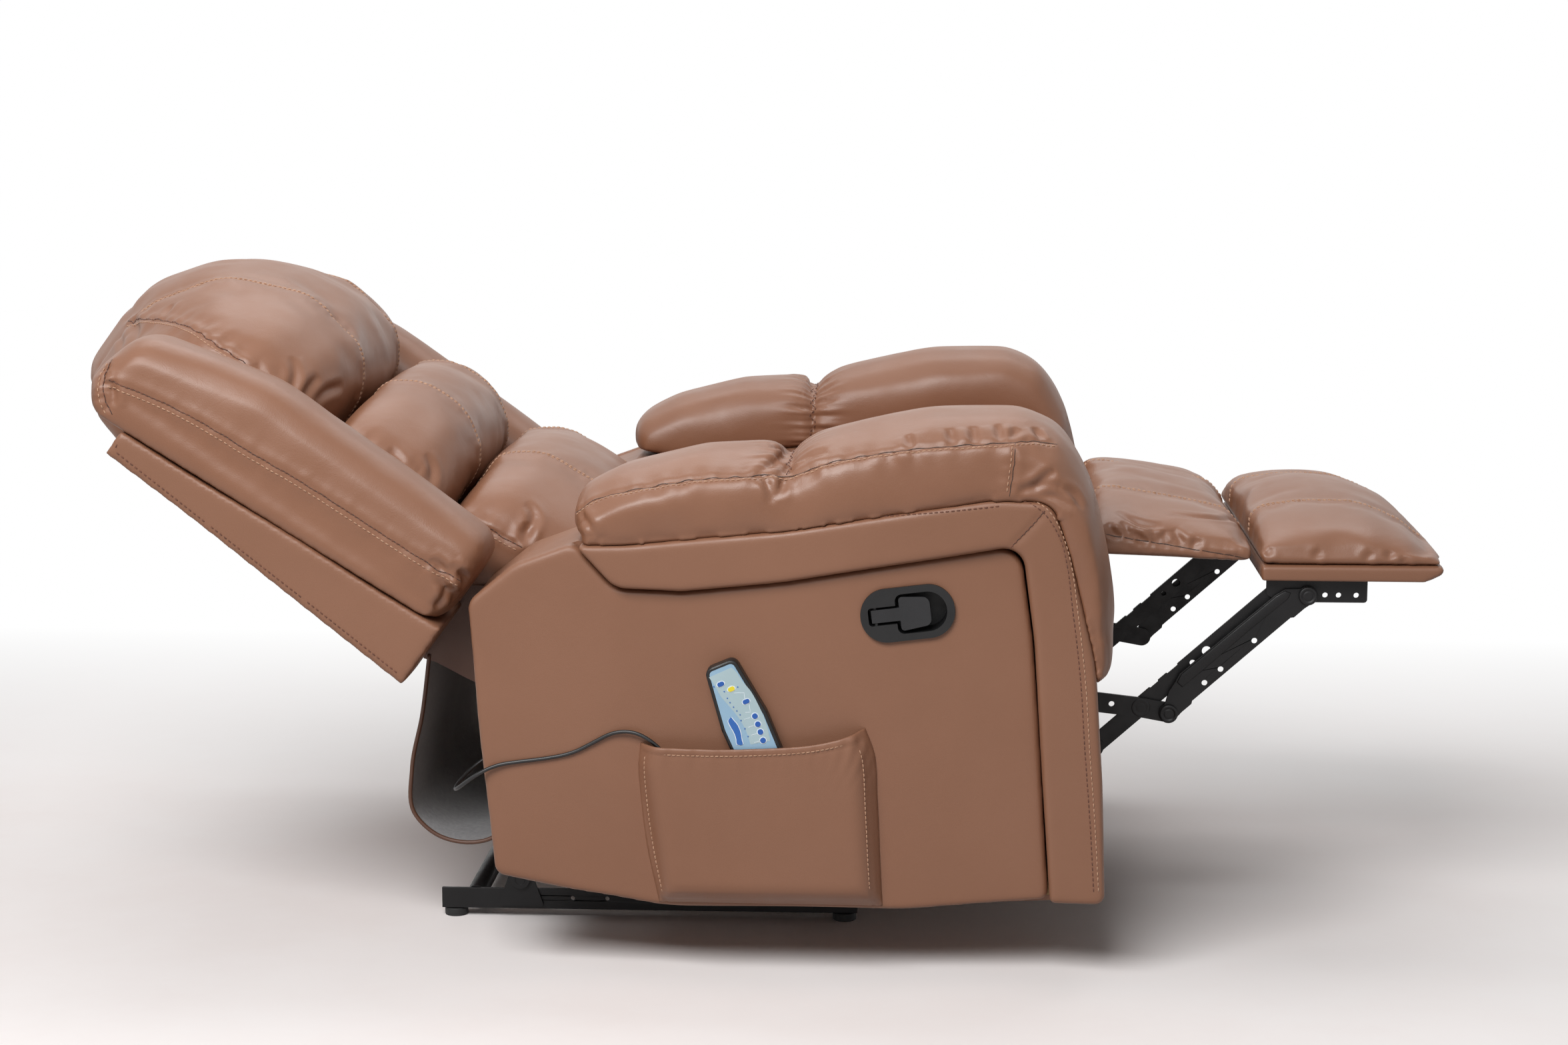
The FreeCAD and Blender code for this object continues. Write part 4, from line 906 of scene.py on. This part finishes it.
cushions = [
    back_cushion("head_cushion", -0.045, -0.25, head_edge, head_folds, 11, head_end),
    back_cushion("mid_cushion", -0.045, -0.26, mid_edge, mid_folds, 23),
    back_cushion("low_cushion", -0.03, -0.25, low_edge, low_folds, 37),
]
for obj, node, body, seams, edges in cushions:
    finish_cushion(obj, node, body, seams)
    stitches(node + "_edge_stitches", obj, edges, body, edge_rows)


# Seat, calf pad and footrest pad: their seams run from the seat to the foot end

def flat_cushion(node, voxel, floor_z, seed, ends, folds=(), depth=0, edge=()):
    """A pad of the seat or footrest: its lengthwise seams, its folds and the seam along its side."""
    obj = remeshed(node + "_soft", nodes[node], voxel, 8)
    seams = long_seams(obj, lambda p: p[2] > floor_z and ends[0] < p[0] < ends[1])
    held = points_of(obj.data)[:, 2] < floor_z
    puff(obj, held | close_to(obj, seams, sewn_reach), 0.005, 0.016)
    finer(obj)
    sew(obj, seams, 0.0025, 0.006, 0.0005, 0.03, 0.022, seed)
    if folds:
        fold(obj, both(fold_lines(obj, folds, -0.25)), depth, 0.0048)
    edges = both(fold_lines(obj, [edge], -0.268)) if edge else []
    if edges:
        sew(obj, edges, 0.0016, 0.0035, 0.0006, 0.02, 0.012, seed + 1)
    return obj, seams, edges


calf_folds = [
    [(438.4, 507.4), (445.5, 497.3), (457.4, 491.5)],
    [(455.3, 509.4), (463.7, 496.6), (472, 487.9)],
    [(468.1, 501.2), (476.5, 490.2), (489.3, 484.4)],
    [(489.9, 501.4), (498.2, 492.2), (500.2, 484.8)],
    [(508.5, 500), (507.5, 493), (506.5, 485.8)],
    [(516.2, 501.6), (522.8, 490.6), (529.3, 482.3)],
    [(549.1, 489), (544, 484), (538.8, 478.7)],
    [(611.7, 483.9), (618, 477), (624.7, 470.2)],
    [(450.5, 522.3), (478, 506.8), (507.1, 503.4)],
    [(506.7, 520.3), (553.9, 515.7), (597.4, 510.6)],
]
calf_side = [
    (432, 498.1), (469, 491.7), (508.5, 485.6), (547.9, 478.7), (587.3, 471.9), (615, 467),
]
foot_side = [
    (629, 464.8), (673.8, 461.4), (728.7, 457.9), (783.6, 454.4), (820, 452.5),
]
foot_folds = [
    [(633.5, 480.4), (630.5, 475), (627.8, 469.3)],
    [(683, 466), (687, 472), (695, 476)],
    [(743, 463), (749, 471), (755, 475)],
    [(768, 460), (773, 469), (776, 477)],
    [(786, 457), (792, 465), (794, 471)],
    [(807, 454), (811, 461), (813, 467)],
]
seat, seams, edges = flat_cushion("seat_cushion", 0.008, 0.44, 41, (-0.06, 0.43))
finish_cushion(seat, "seat_cushion", "chair_body", seams)
foot, seams, edges = flat_cushion("footrest_pad", 0.005, 0.472, 53, (0.61, 0.85), foot_folds, 0.0022,
                                  foot_side)
finish_cushion(foot, "footrest_pad", "footrest", seams)
# Along the footrest pad's side seams only the dark tube of painted seam shadow, no thread
stitches("footrest_pad_edge_shadow", foot, edges, "footrest", ())
calf, seams, edges = flat_cushion("calf_pad", 0.005, 0.482, 67, (0.42, 0.62), calf_folds, 0.0034, calf_side)
calf_thread = finish_cushion(calf, "calf_pad", None, seams)
# Along the calf pad's side seams only the dark tube of painted seam shadow, no thread
calf_seam_shadow = stitches("calf_pad_edge", calf, edges, None, ())
for piece in (calf, calf_thread, calf_seam_shadow):
    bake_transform(piece)


# Wings beside the back cushions

wing = remeshed("wing_right", nodes["back_wing_right"], 0.005, 8)
wing_y = -0.425
wing_seam = [
    (-714, 692), (-680, 679), (-639, 661), (-593, 636), (-548, 608), (-498, 579), (-443, 544),
    (-388, 508), (-343, 480), (-308, 462),
]
wing_end = [
    (-706, 716), (-716, 700), (-718, 683), (-715, 665), (-708, 652),
]
wing_folds = [
    [(-311, 450), (-304, 464), (-313, 473)],
    [(-341, 429), (-330, 441), (-325, 455)],
    [(-316, 441), (-334, 464), (-340, 478)],
    [(-300, 466), (-312, 471), (-322, 482)],
    [(-320, 462), (-331, 478), (-345, 487)],
    [(-712, 692), (-706, 679), (-708, 662)],
]
wing_lines = [sight_line(wing, wing_seam, wing_y), sight_line(wing, wing_end, wing_y)]
wing_held = (back_out(points_of(wing.data)) < -0.058) | close_to(wing, wing_lines, sewn_reach)
puff(wing, wing_held, 0.0035, calm=40)
finer(wing)
sew(wing, wing_lines[:1], 0.0022, 0.006, 0.0005, 0.03, 0.03, 71)
sew(wing, wing_lines[1:], 0.003, 0.005, 0.0012, 0.02, 0.014, 73)
fold(wing, fold_lines(wing, wing_folds, wing_y), 0.0045, 0.0055)
wings = [(wing, wing_lines, "right"), (mirrored(wing, "wing_left"), mirror_lines(wing_lines), "left")]
for piece, lines, side in wings:
    cover(piece, "back_wing_" + side, "backrest", brown)
    stitches("wing_" + side + "_stitches", piece, lines, "backrest", edge_rows)


# Arm pads with their sewn crease, side seam and pleats

arm = remeshed("arm_pad_near", nodes["arm_pad_right"], 0.0055, 7)
arm_points = points_of(arm.data)
arm_tip = np.clip((0.43 - arm_points[:, 2]) / 0.05, 0, 1)
set_points(arm.data, relax(arm_points, edges_of(arm.data), 50, arm_tip))
arm_y = -0.43
arm_seam = [
    (-176, 543), (-165, 554), (-147, 563), (-112, 571), (-64, 580), (-16, 586), (23, 588), (36, 590),
    (62, 588), (80, 592), (106, 602), (140, 610), (184, 617), (227, 622), (270, 625), (313, 628),
    (352, 630), (371, 626),
]
arm_front_seam = [
    (324, 628), (323, 604), (320, 582), (318, 566),
]
arm_rear_seam = [
    (-165, 553), (-172, 535), (-174, 518),
]
arm_folds = [
    [(68, 615), (54, 604), (36, 593), (23, 575)],
    [(71, 613), (54, 619), (32, 623)],
    [(36, 588), (45, 578), (49, 556)],
    [(62, 586), (60, 574), (54, 560)],
    [(78, 602), (93, 611), (114, 617)],
    [(203, 636), (206, 620)],
    [(249, 643), (255, 624)],
    [(275, 645), (279, 626)],
    [(303, 648), (309, 628)],
    [(326, 644), (317, 630)],
    [(345, 645), (354, 630)],
    [(326, 570), (350, 578), (378, 578)],
    [(340, 570), (372, 565), (394, 552)],
    [(370, 576), (391, 569), (400, 552)],
    [(344, 574), (356, 587), (371, 595)],
    [(-170, 540), (-160, 530), (-155, 515)],
]
seam, front_seam, rear_seam = [sight_line(arm, places, arm_y)
                               for places in (arm_seam, arm_front_seam, arm_rear_seam)]
# The crease runs from the outer side seam over the top and down the inside
crease = plane_line(arm, (0.066, 0, 0), (1, 0, 0), lambda p: p[2] > (0.588 if p[1] < -0.36 else 0.47))
arm_held = (points_of(arm.data)[:, 2] < 0.40) | close_to(arm, [seam, front_seam, crease], 0.005)
puff(arm, arm_held, 0.003, 0.02, 30)
finer(arm)
sew(arm, [seam], 0.0028, 0.005, 0.0012, 0.028, 0.03, 83)
sew(arm, [front_seam, rear_seam], 0.002, 0.005, 0.0006, 0.02, 0.02, 84)
sew(arm, [crease], 0.008, 0.008, 0.0030, 0.06, 0.02, 89)
fold(arm, fold_lines(arm, arm_folds, arm_y), 0.0036, 0.005)
settle(arm, nodes["arm_band_right"], 0.012)
far_arm = mirrored(arm, "arm_pad_far")
for piece, side, name, seams, middle in (
        (arm, "right", "near", [seam, front_seam], [crease]),
        (far_arm, "left", "far", mirror_lines([seam, front_seam]), mirror_lines([crease]))):
    cover(piece, "arm_pad_" + side, "chair_body", brown)
    stitches("arm_stitches_" + name, piece, seams, "chair_body", ((-0.0036, light),))
    stitches("arm_crease_" + name, piece, middle, "chair_body", dark_row, False)


# Leather-wrapped boards: side panels, bands and the back's shell

def board(node, name, voxel, rounds, body, bulge, hull=False, spread=0):
    """A leather-wrapped board: rims rounded, sides let out by the spread, faces slightly uneven."""
    obj = remeshed(name, nodes[node], voxel, rounds, hull)
    if spread:
        normals = normals_of(obj.data)
        normals[:, 1] = 0
        co = points_of(obj.data)
        normals *= np.clip((co[:, 2] - co[:, 2].min() - 0.012) / 0.01, 0, 1)[:, None]
        set_points(obj.data, co + relax(normals, edges_of(obj.data), 2) * spread)
    billow(obj, bulge, 0.24, len(name))
    return cover(obj, node, body, brown_flat)


band_y = 0.445
band_places = [
    [(314, 505), (346, 539), (360, 556)],
    [(322, 562), (340, 562), (354, 556), (367, 541), (378, 519), (386, 489), (392, 445), (398, 401),
     (403, 357), (409, 277), (416, 195), (422, 107)],
    [(-170, 510), (-128, 511), (-54, 516), (20, 522), (98, 532), (171, 543), (249, 551), (310, 558)],
]
for side, out in (("right", -1), ("left", 1)):
    board("side_panel_" + side, "panel_" + side, 0.0034, 2, "chair_body", 0.0007, False, 0.0018)
    band = board("arm_band_" + side, "band_" + side, 0.0034, 2, "chair_body", 0.0005)
    mitre, edge, top = [cast_line(band, [(x * mm, band_y * out, z * mm) for x, z in row], (0, -out, 0))
                        for row in band_places]
    sew(band, [mitre], 0.0014, 0.004, 0, 0.012, 0.02, 3)
    stitches("band_mitre_" + side, band, [mitre], "chair_body", dark_row)
    stitches("band_stitches_" + side, band, [edge], "chair_body",
             ((-0.0028 * out, light), (0.0028 * out, dark)), False)
    stitches("band_top_stitches_" + side, band, [top], "chair_body", dark_row, False)

shell = board("back_shell", "shell", 0.0046, 3, "backrest", 0.0014, True)
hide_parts("back_frame")
shell_rim = [(0.536, -0.088), (0.536, -0.112), (0.400, -0.121), (0.260, -0.129), (0.120, -0.138)]
for out, side in ((-1, "right"), (1, "left")):
    corners = [back_place(along, up, out * 0.6) for along, up in shell_rim]
    rim = [cast_line(shell, pair, (0, -out, 0)) for pair in zip(corners[:-1], corners[1:])]
    stitches("shell_stitches_" + side, shell, rim, "backrest", dark_row, False)
board("footrest_board", "foot_board", 0.004, 3, "footrest", 0.0003)

# The other nodes' finish: material, slot, bevel and names
finishes = [
    (brown_flat, "leather", 0.0015, "arm_skin_left arm_skin_right"),
    (raw_wood, "wood", 0.0012, "seat_frame rear_board arm_frame_left arm_frame_right"),
    (black_steel, "black_steel", 0.0007, "base_rails base_cross_tubes base_risers front_swing_links"),
    (black_steel, "black_steel", 0.0007, "rear_swing_links side_plates body_pins back_brackets"),
    (black_steel, "black_steel", 0.0007, "footrest_brackets lift_links lift_cross_tube control_links"),
    (black_steel, "black_steel", 0.0007, "rear_bars front_bars"),
    (webbing, "webbing", 0, "seat_webbing"),
    (black_rubber, "rubber", 0.001, "glide_feet"),
    (black_plastic, "black_plastic", 0.0012, "handle_bezel"),
    (lever_plastic, "black_plastic", 0.0012, "release_lever"),
    (black_plastic, "black_plastic", 0.002, "control_box"),
    (black_plastic, "black_plastic", 0.001, "seat_motors back_motors"),
    (cord_rubber, "cord", 0, "release_cable"),
    (black_plastic, "black_plastic", 0.0006, "handset_shell"),
    (face_blue, "handset_blue", 0.0002, "handset_face"),
    (button_blue, "button_blue", 0.0004, "mode_button_1 mode_button_3 zone_button_1 zone_button_2"),
    (button_blue, "button_blue", 0.0004, "zone_button_3 zone_button_4"),
    (button_yellow, "button_yellow", 0.0004, "mode_button_2"),
]
for material, slot, bevel, names in finishes:
    for name in names.split():
        dress(name, material, bevel)


# Rear skirt: felt-backed leather hung from the back's shell to the body, with a bound edge

skirt_path = [
    (-373.5, 342.8), (-383.5, 268), (-397, 200), (-395, 146), (-370, 121), (-300, 119), (-281, 138),
    (-280.3, 250),
]
skirt_half_width = 0.266
skirt_thickness = 0.003
binding_radius = 0.0026
skirt_line = curve_points(np.array(skirt_path) * mm, 0.006)
skirt_ways = unit(np.gradient(skirt_line, axis=0))
skirt_out = np.stack([skirt_ways[:, 1], -skirt_ways[:, 0]], 1)
skirt_across = np.linspace(-skirt_half_width, skirt_half_width, 89)
rows = len(skirt_line)
columns = len(skirt_across)
free_share = np.sin(np.linspace(0, math.pi, rows)) ** 2
ripples = wave(skirt_across + skirt_half_width, 0.16, 5) * 0.0022


def on_skirt(i, j, lift):
    """A place on the skirt, by its row, its column and its height off the felt."""
    x, z = skirt_line[i] + skirt_out[i] * (lift + ripples[j] * free_share[i])
    return (x, skirt_across[j], z)


places = [on_skirt(i, j, lift) for lift in (0, skirt_thickness) for i in range(rows) for j in range(columns)]
sheet = Batch(places, *sheet_faces(rows, columns))
skirt = new_piece("skirt_sheet", sheet, (grey_felt, brown_flat))
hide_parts("rear_skirt")
batch = Batch()
for j in (0, columns - 1):
    rings = []
    for i in range(rows):
        x, y, z = on_skirt(i, j, skirt_thickness / 2)
        rings.append([(x + skirt_out[i, 0] * c * binding_radius, y + s * binding_radius,
                       z + skirt_out[i, 1] * c * binding_radius) for c, s in turn(10)])
    batch.add(*tube_mesh(rings))
binding = new_piece("skirt_binding", batch, (binding_and_shade_leather,))
for piece in (skirt, binding):
    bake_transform(piece)


# Lining at the back's low end, between the shell and the body: a leather flap closing the gap, in the darker
# leather as painted shade of that gap

flap_shape = [
    (-382, 338), (-366, 333), (-330, 314), (-292, 296), (-262, 300), (-256, 345), (-262, 405),
    (-300, 428), (-345, 428), (-385, 375),
]
flap_sides = (0.2648, 0.2668)
for out, side in ((-1, "right"), (1, "left")):
    batch = Batch()
    batch.add(*tube_mesh([[(x * mm, out * y, z * mm) for x, z in flap_shape[::-out]] for y in flap_sides]))
    new_piece("back_lining_" + side, batch, (binding_and_shade_leather,), "backrest", False)


# Bolt heads on the footrest's pivots, and the pressed ribs of its front bars

# The head's section: its radius, and the share of its rise
bolt_section = [(0.0112, 0), (0.0112, 0.35), (0.0104, 0.75), (0.0090, 1), (0.0078, 0.9), (0.0068, 0.35),
                (0.0058, 0.3), (0.0052, 0.55), (0.0040, 0.6), (0.0012, 0.5)]


def bolt_head(name, place, body, face_y, rise):
    """A dished round head with a raised rim, on both sides of the chair."""
    batch = Batch()
    for out in (-1, 1):
        batch.add(*tube_mesh([
            [(place[0] + reach * c * out, out * (face_y + share * rise), place[1] + reach * s)
             for c, s in turn(36)]
            for reach, share in bolt_section]))
    new_piece(name, batch, (black_steel,), body)


bar_top = (0.680, 0.420)
bar_toe = (0.517, 0.274)
bolt_head("footrest_bolts", bar_top, "footrest", 0.2429, 0.0020)
bolt_head("lift_bolts", bar_toe, "lift_links", 0.2429, 0.0020)
bolt_head("knee_bolts", (0.484, 0.280), "lift_links", 0.23595, 0.0005)
rib_shape = [(33.5, 13.8), (60, 13.2), (140, 14.2), (199, 13.0), (206, 15.8), (202.5, 22.6), (190, 24.8),
             (43, 26.8), (32.5, 22.8)]
# The rib's levels: how far in its edge lies, and how far out from the middle of the chair
rib_levels = ((0, 0.2400), (0, 0.2407), (0.0009, 0.2416), (0.0022, 0.2419))
rib_way = np.subtract(bar_top, bar_toe)
rib_way /= np.linalg.norm(rib_way)
rib_frame = np.array([rib_way, (-rib_way[1], rib_way[0])])
rib_ring = np.array(rib_shape) * mm
toward = rib_ring.mean(0) - rib_ring
toward[:, 0] = np.clip(toward[:, 0], -0.01, 0.01)
batch = Batch()
for out in (-1, 1):
    rings = []
    for inset, depth in rib_levels:
        ring = bar_toe + (rib_ring + unit(toward) * inset) @ rib_frame
        rings.append([(x, out * depth, z) for x, z in ring[::-out]])
    batch.add(*tube_mesh(rings))
new_piece("front_bar_ribs", batch, (black_steel,), "front_bars")


# Side pocket: one leather panel sewn to the side panel at its sides and foot, open at the top

pocket_left = [
    (-82, 88), (-96, 156), (-104, 225), (-105.5, 251.5), (-102.9, 277.8),
]
pocket_right = [
    (177, 87), (174.2, 137), (170.5, 214), (165.7, 272.5), (156.1, 297.9),
]
pocket_mouth = [
    (-102.9, 277.8), (22, 276.8), (109, 284.8), (156.1, 297.9),
]
pocket_leather = 0.0021
pocket_hem = 0.0085
hem_height = 0.0009
across_count, up_count = 97, 73
pocket_tree = tree_of(nodes["side_pocket"])
left_line, right_line, mouth_line = [curve_points(np.array(places) * mm, 0.002)
                                     for places in (pocket_left, pocket_right, pocket_mouth)]


def between(a, b, u):
    return a + (b - a) * u


grid = np.zeros((up_count, across_count, 3))
for i, v in enumerate(np.linspace(0, 1, up_count)):
    a = left_line[int(round(v * (len(left_line) - 1)))]
    b = right_line[int(round(v * (len(right_line) - 1)))]
    for j, u in enumerate(np.linspace(0, 1, across_count)):
        x, level = between(a, b, u)
        foot = between(left_line[0][1], right_line[0][1], u)
        share = (level - foot) / max(between(left_line[-1][1], right_line[-1][1], u) - foot, least)
        z = foot + share * (np.interp(x, mouth_line[:, 0], mouth_line[:, 1]) - 0.0006 - foot)
        hit = pocket_tree.ray_cast(Vector((x, -0.6, z)), Vector((0, 1, 0)))[0]
        near_panel = hit is None or hit.y >= -panel_face_y - 0.0003
        grid[i, j] = (x, -panel_face_y - 0.0008 if near_panel else hit.y, z)
for _ in range(6):
    deep = grid[:, :, 1]
    smooth = deep.copy()
    smooth[1:-1, 1:-1] = (deep[:-2, 1:-1] + deep[2:, 1:-1] + deep[1:-1, :-2] + deep[1:-1, 2:]) / 4
    smooth[-1, 1:-1] = (deep[-1, :-2] + deep[-1, 2:]) / 2
    grid[:, :, 1] = smooth
top_gap = grid[-1, :, 2][None, :] - grid[:, :, 2]
left_gap = grid[:, :, 0] - grid[:, :1, 0]
right_gap = grid[:, -1:, 0] - grid[:, :, 0]
hem = np.exp(-((top_gap - pocket_hem) / 0.0012) ** 2) * hem_height
turned = np.sin(math.pi * np.clip(top_gap / pocket_hem, 0, 1)) ** 0.5
hem -= np.where(top_gap < pocket_hem, hem_height, 0) * turned
pucker = wave(left_gap.ravel(), 0.022, 9).reshape(left_gap.shape) * 0.0006 * np.exp(-top_gap / 0.02)
corner = np.exp(-(right_gap / 0.035) ** 2 - (top_gap / 0.04) ** 2)
pucker += np.sin((right_gap - top_gap * 0.7) * 2 * math.pi / 0.016) * 0.0011 * corner
gusset = np.exp(-((right_gap - 0.0105) / 0.0016) ** 2) * 0.0012
seam = np.exp(-((left_gap - 0.0075) / 0.0014) ** 2) * 0.0007
inner = np.clip(np.minimum(left_gap, right_gap) / 0.004, 0, 1)
grid[:, :, 1] += (hem + pucker + gusset + seam) * inner
behind = grid.copy()
behind[:, :, 1] = np.minimum(grid[:, :, 1] + pocket_leather, -panel_face_y - 0.0002)
faces, _ = sheet_faces(up_count, across_count)
places = np.concatenate([grid.reshape(-1, 3), behind.reshape(-1, 3)]).tolist()
pocket = new_piece("pocket_panel", Batch(places, faces), (brown_flat,), "chair_body")
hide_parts("side_pocket")
sewn_rows = [
    [grid[i, np.argmin(abs(left_gap[i] - 0.0085))] for i in range(2, up_count - 4, 2)],
    [grid[i, np.argmin(abs(right_gap[i] - 0.0135))] for i in range(2, up_count - 5, 2)],
    [grid[np.argmin(abs(top_gap[:, j] - pocket_hem + 0.001)), j] for j in range(4, across_count - 3, 2)],
]
sewn_lines = [Line(row, [(0, -1, 0)] * len(row)).smoothed(3) for row in sewn_rows]
stitches("pocket_stitches", pocket, sewn_lines, "chair_body", ((0, light),), False, 0.0055)


# Handset face: two tones, rings round the buttons, marks and a plain body figure

handset_lean = math.radians(23)
face_top = (-0.00997, -0.4564, 0.3739)
print_depth = 0.0002


def on_face(across, down, lift):
    """A place on the handset's face, in millimetres across and down from its top."""
    x = (across * math.cos(handset_lean) + down * math.sin(handset_lean)) * mm
    z = (across * math.sin(handset_lean) - down * math.cos(handset_lean)) * mm
    return (face_top[0] + x, face_top[1] - lift, face_top[2] + z)


def outline(points):
    """A closed soft outline through those places."""
    return curve_points(points + points[:1], 0.8)[:-1].tolist()


def strip(points, width):
    """An open line as a narrow band."""
    line = np.array(points, float)
    ways = unit(np.gradient(line, axis=0))
    side = np.stack([-ways[:, 1], ways[:, 0]], 1) * width / 2
    return (line + side).tolist() + (line - side)[::-1].tolist()


def disc(across, down, wide, high, sides=28):
    """A round or oval patch."""
    return [(across + wide * c, down + high * s) for c, s in turn(sides)]


def printed(name, patches, material, lift):
    """Flat patches printed on the handset's face."""
    batch = Batch()
    for ring in patches:
        turned = sum(a[0] * b[1] - b[0] * a[1] for a, b in zip(ring, ring[1:] + ring[:1]))
        ring = ring[::-1] if turned < 0 else ring
        batch.add(*tube_mesh([[on_face(x, y, up) for x, y in ring] for up in (lift, lift - print_depth)]))
    new_piece(name, batch, (material,), "handset", False)


face_curve = curve_points([
    (-16.6, 9.3), (-14.4, 19.5), (-12.8, 34.4), (-8.7, 48.3), (-4.6, 62.2), (-2.0, 79.6), (-3.3, 99.5)], 1.5)
face_right = curve_points([
    (19.4, 104.0), (22.6, 85.9), (23.0, 61.6), (21.2, 42.5), (16.6, 26.2), (14.6, 14.9), (11.8, 8.6)], 1.5)
ovals = [(-7.3, 21.6), (1.7, 31.4), (11.6, 51.3)]
rounds = [(14.2, 70.7), (13.6, 80.6), (12.8, 90.1), (11.7, 100.3)]
dots = [(-15.7, 21.4), (-7, 31.1), (9.4, 32.1), (-6.7, 39.7), (-5.9, 45.4), (-4.2, 51.8), (-2.5, 57.3),
        (-0.9, 62.9), (-2.5, 69.5), (-2.1, 79.9), (-2.3, 89.6)]
figure = [(-11.5, 61.4), (-10.3, 66), (-8.6, 71.5), (-8.2, 77), (-8.7, 82.9), (-10.6, 90.3), (-11.8, 95.9),
          (-17.3, 93.7), (-15.7, 86.2), (-15.4, 78.1), (-16.3, 70.8), (-15.7, 63.7)]
printed("handset_panel", [face_curve.tolist() + face_right.tolist()], face_grey, 0.0002)
white_marks = [disc(x, y, 5.2, 3.6) for x, y in ovals] + [disc(x, y, 4.2, 4.2) for x, y in rounds]
white_marks += [strip([(2.5, 37.0), (8, 39.0), (13.4, 41.2), (12.2, 45.0), (11.4, 47.6)], 0.6),
                strip([(13.6, 55.7), (12.4, 60.0), (11.2, 64.6), (5.6, 62.6)], 0.6)]
white_marks += [strip([(1.5, y), (8.5, y + 0.6)], 0.5) for y in (69.7, 79.9, 89.8, 99.0)]
white_marks.append(outline([(x + (0.9 if x > -12 else -0.9), y) for x, y in figure]))
printed("handset_marks", white_marks, print_white, 0.0004)
blue_marks = [disc(x, y, 0.8, 0.8, 12) for x, y in dots] + [outline(figure)]
printed("handset_dots", blue_marks, print_blue, 0.0006)


# Floor, backdrop and light

def lamp(name, place, target, size, power):
    data = bpy.data.lights.new(name, "AREA")
    data.shape = "RECTANGLE"
    data.size, data.size_y = size
    data.energy = power
    obj = bpy.data.objects.new(name, data)
    obj.visible_camera = False
    scene.collection.objects.link(obj)
    obj.location = place
    obj.rotation_euler = (Vector(target) - Vector(place)).to_track_quat("-Z", "Y").to_euler()


# The floor turns white for the camera towards the back and far away, and throws less light back up
floor_corners = [(-30, -30, 0), (30, -30, 0), (30, 60, 0), (-30, 60, 0)]
floor_bounce = (0.48, 0.46, 0.45, 1)
floor_mesh = bpy.data.meshes.new("floor")
floor_mesh.from_pydata(floor_corners, [], [(0, 1, 2, 3)])
link("floor", floor_mesh)
paint = Paint("pale_floor")
tree = paint.tree
paint.set(Roughness=0.7, Specular_IOR_Level=0.14)
paint.colour(paint.noise(1.3, 6, 0.68), (250, 243, 241), (255, 251, 250), 0.32, 0.68)
paint.relief((paint.noise(9, 5), 0.12, 0.002))
back = paint.node("ShaderNodeSeparateXYZ", paint.place).outputs["Y"]
reach = paint.node("ShaderNodeVectorMath")
reach.operation = "LENGTH"
paint.join(paint.place, reach.inputs[0])
far = math_node(tree, "MAXIMUM", paint.range(back, 0, 1, 0.35, 1.6),
                paint.range(reach.outputs["Value"], 0, 1, 2.1, 4.2))
rays = tree.nodes.new("ShaderNodeLightPath").outputs
white = paint.node("ShaderNodeEmission", Strength=1).outputs["Emission"]
bounce = paint.node("ShaderNodeBsdfDiffuse", Color=floor_bounce).outputs["BSDF"]
white_share = math_node(tree, "MULTIPLY", far, rays["Is Camera Ray"])
seen = mix_node(tree, white_share, paint.shader.outputs["BSDF"], white)
surface = mix_node(tree, rays["Is Diffuse Ray"], seen, bounce)
paint.join(surface, tree.nodes["Material Output"].inputs["Surface"])
floor_mesh.materials.append(paint.material)

world = bpy.data.worlds.new("studio")
scene.world = world
world.use_nodes = True
tree = world.node_tree
plain = tree.nodes["Background"]
bright = tree.nodes.new("ShaderNodeBackground")
for sky, colour, strength in ((plain, (1, 0.99, 0.98, 1), 0.12), (bright, (1, 1, 1, 1), 1)):
    sky.inputs["Color"].default_value = colour
    sky.inputs["Strength"].default_value = strength
rays = tree.nodes.new("ShaderNodeLightPath").outputs
whites = math_node(tree, "MAXIMUM", rays["Is Camera Ray"], rays["Is Glossy Ray"])
whites = math_node(tree, "MAXIMUM", whites, rays["Is Transmission Ray"])
surface = mix_node(tree, whites, plain.outputs["Background"], bright.outputs["Background"])
tree.links.new(surface, tree.nodes["World Output"].inputs["Surface"])

lamp("top", (0.1, 1.1, 2.9), (0, 0.1, 0.4), (3.2, 1.8), 38)
lamp("front", (-0.9, -2.7, 2.8), (0, 0, 0.5), (2.4, 1.6), 131)

scene.view_settings.view_transform = "Standard"
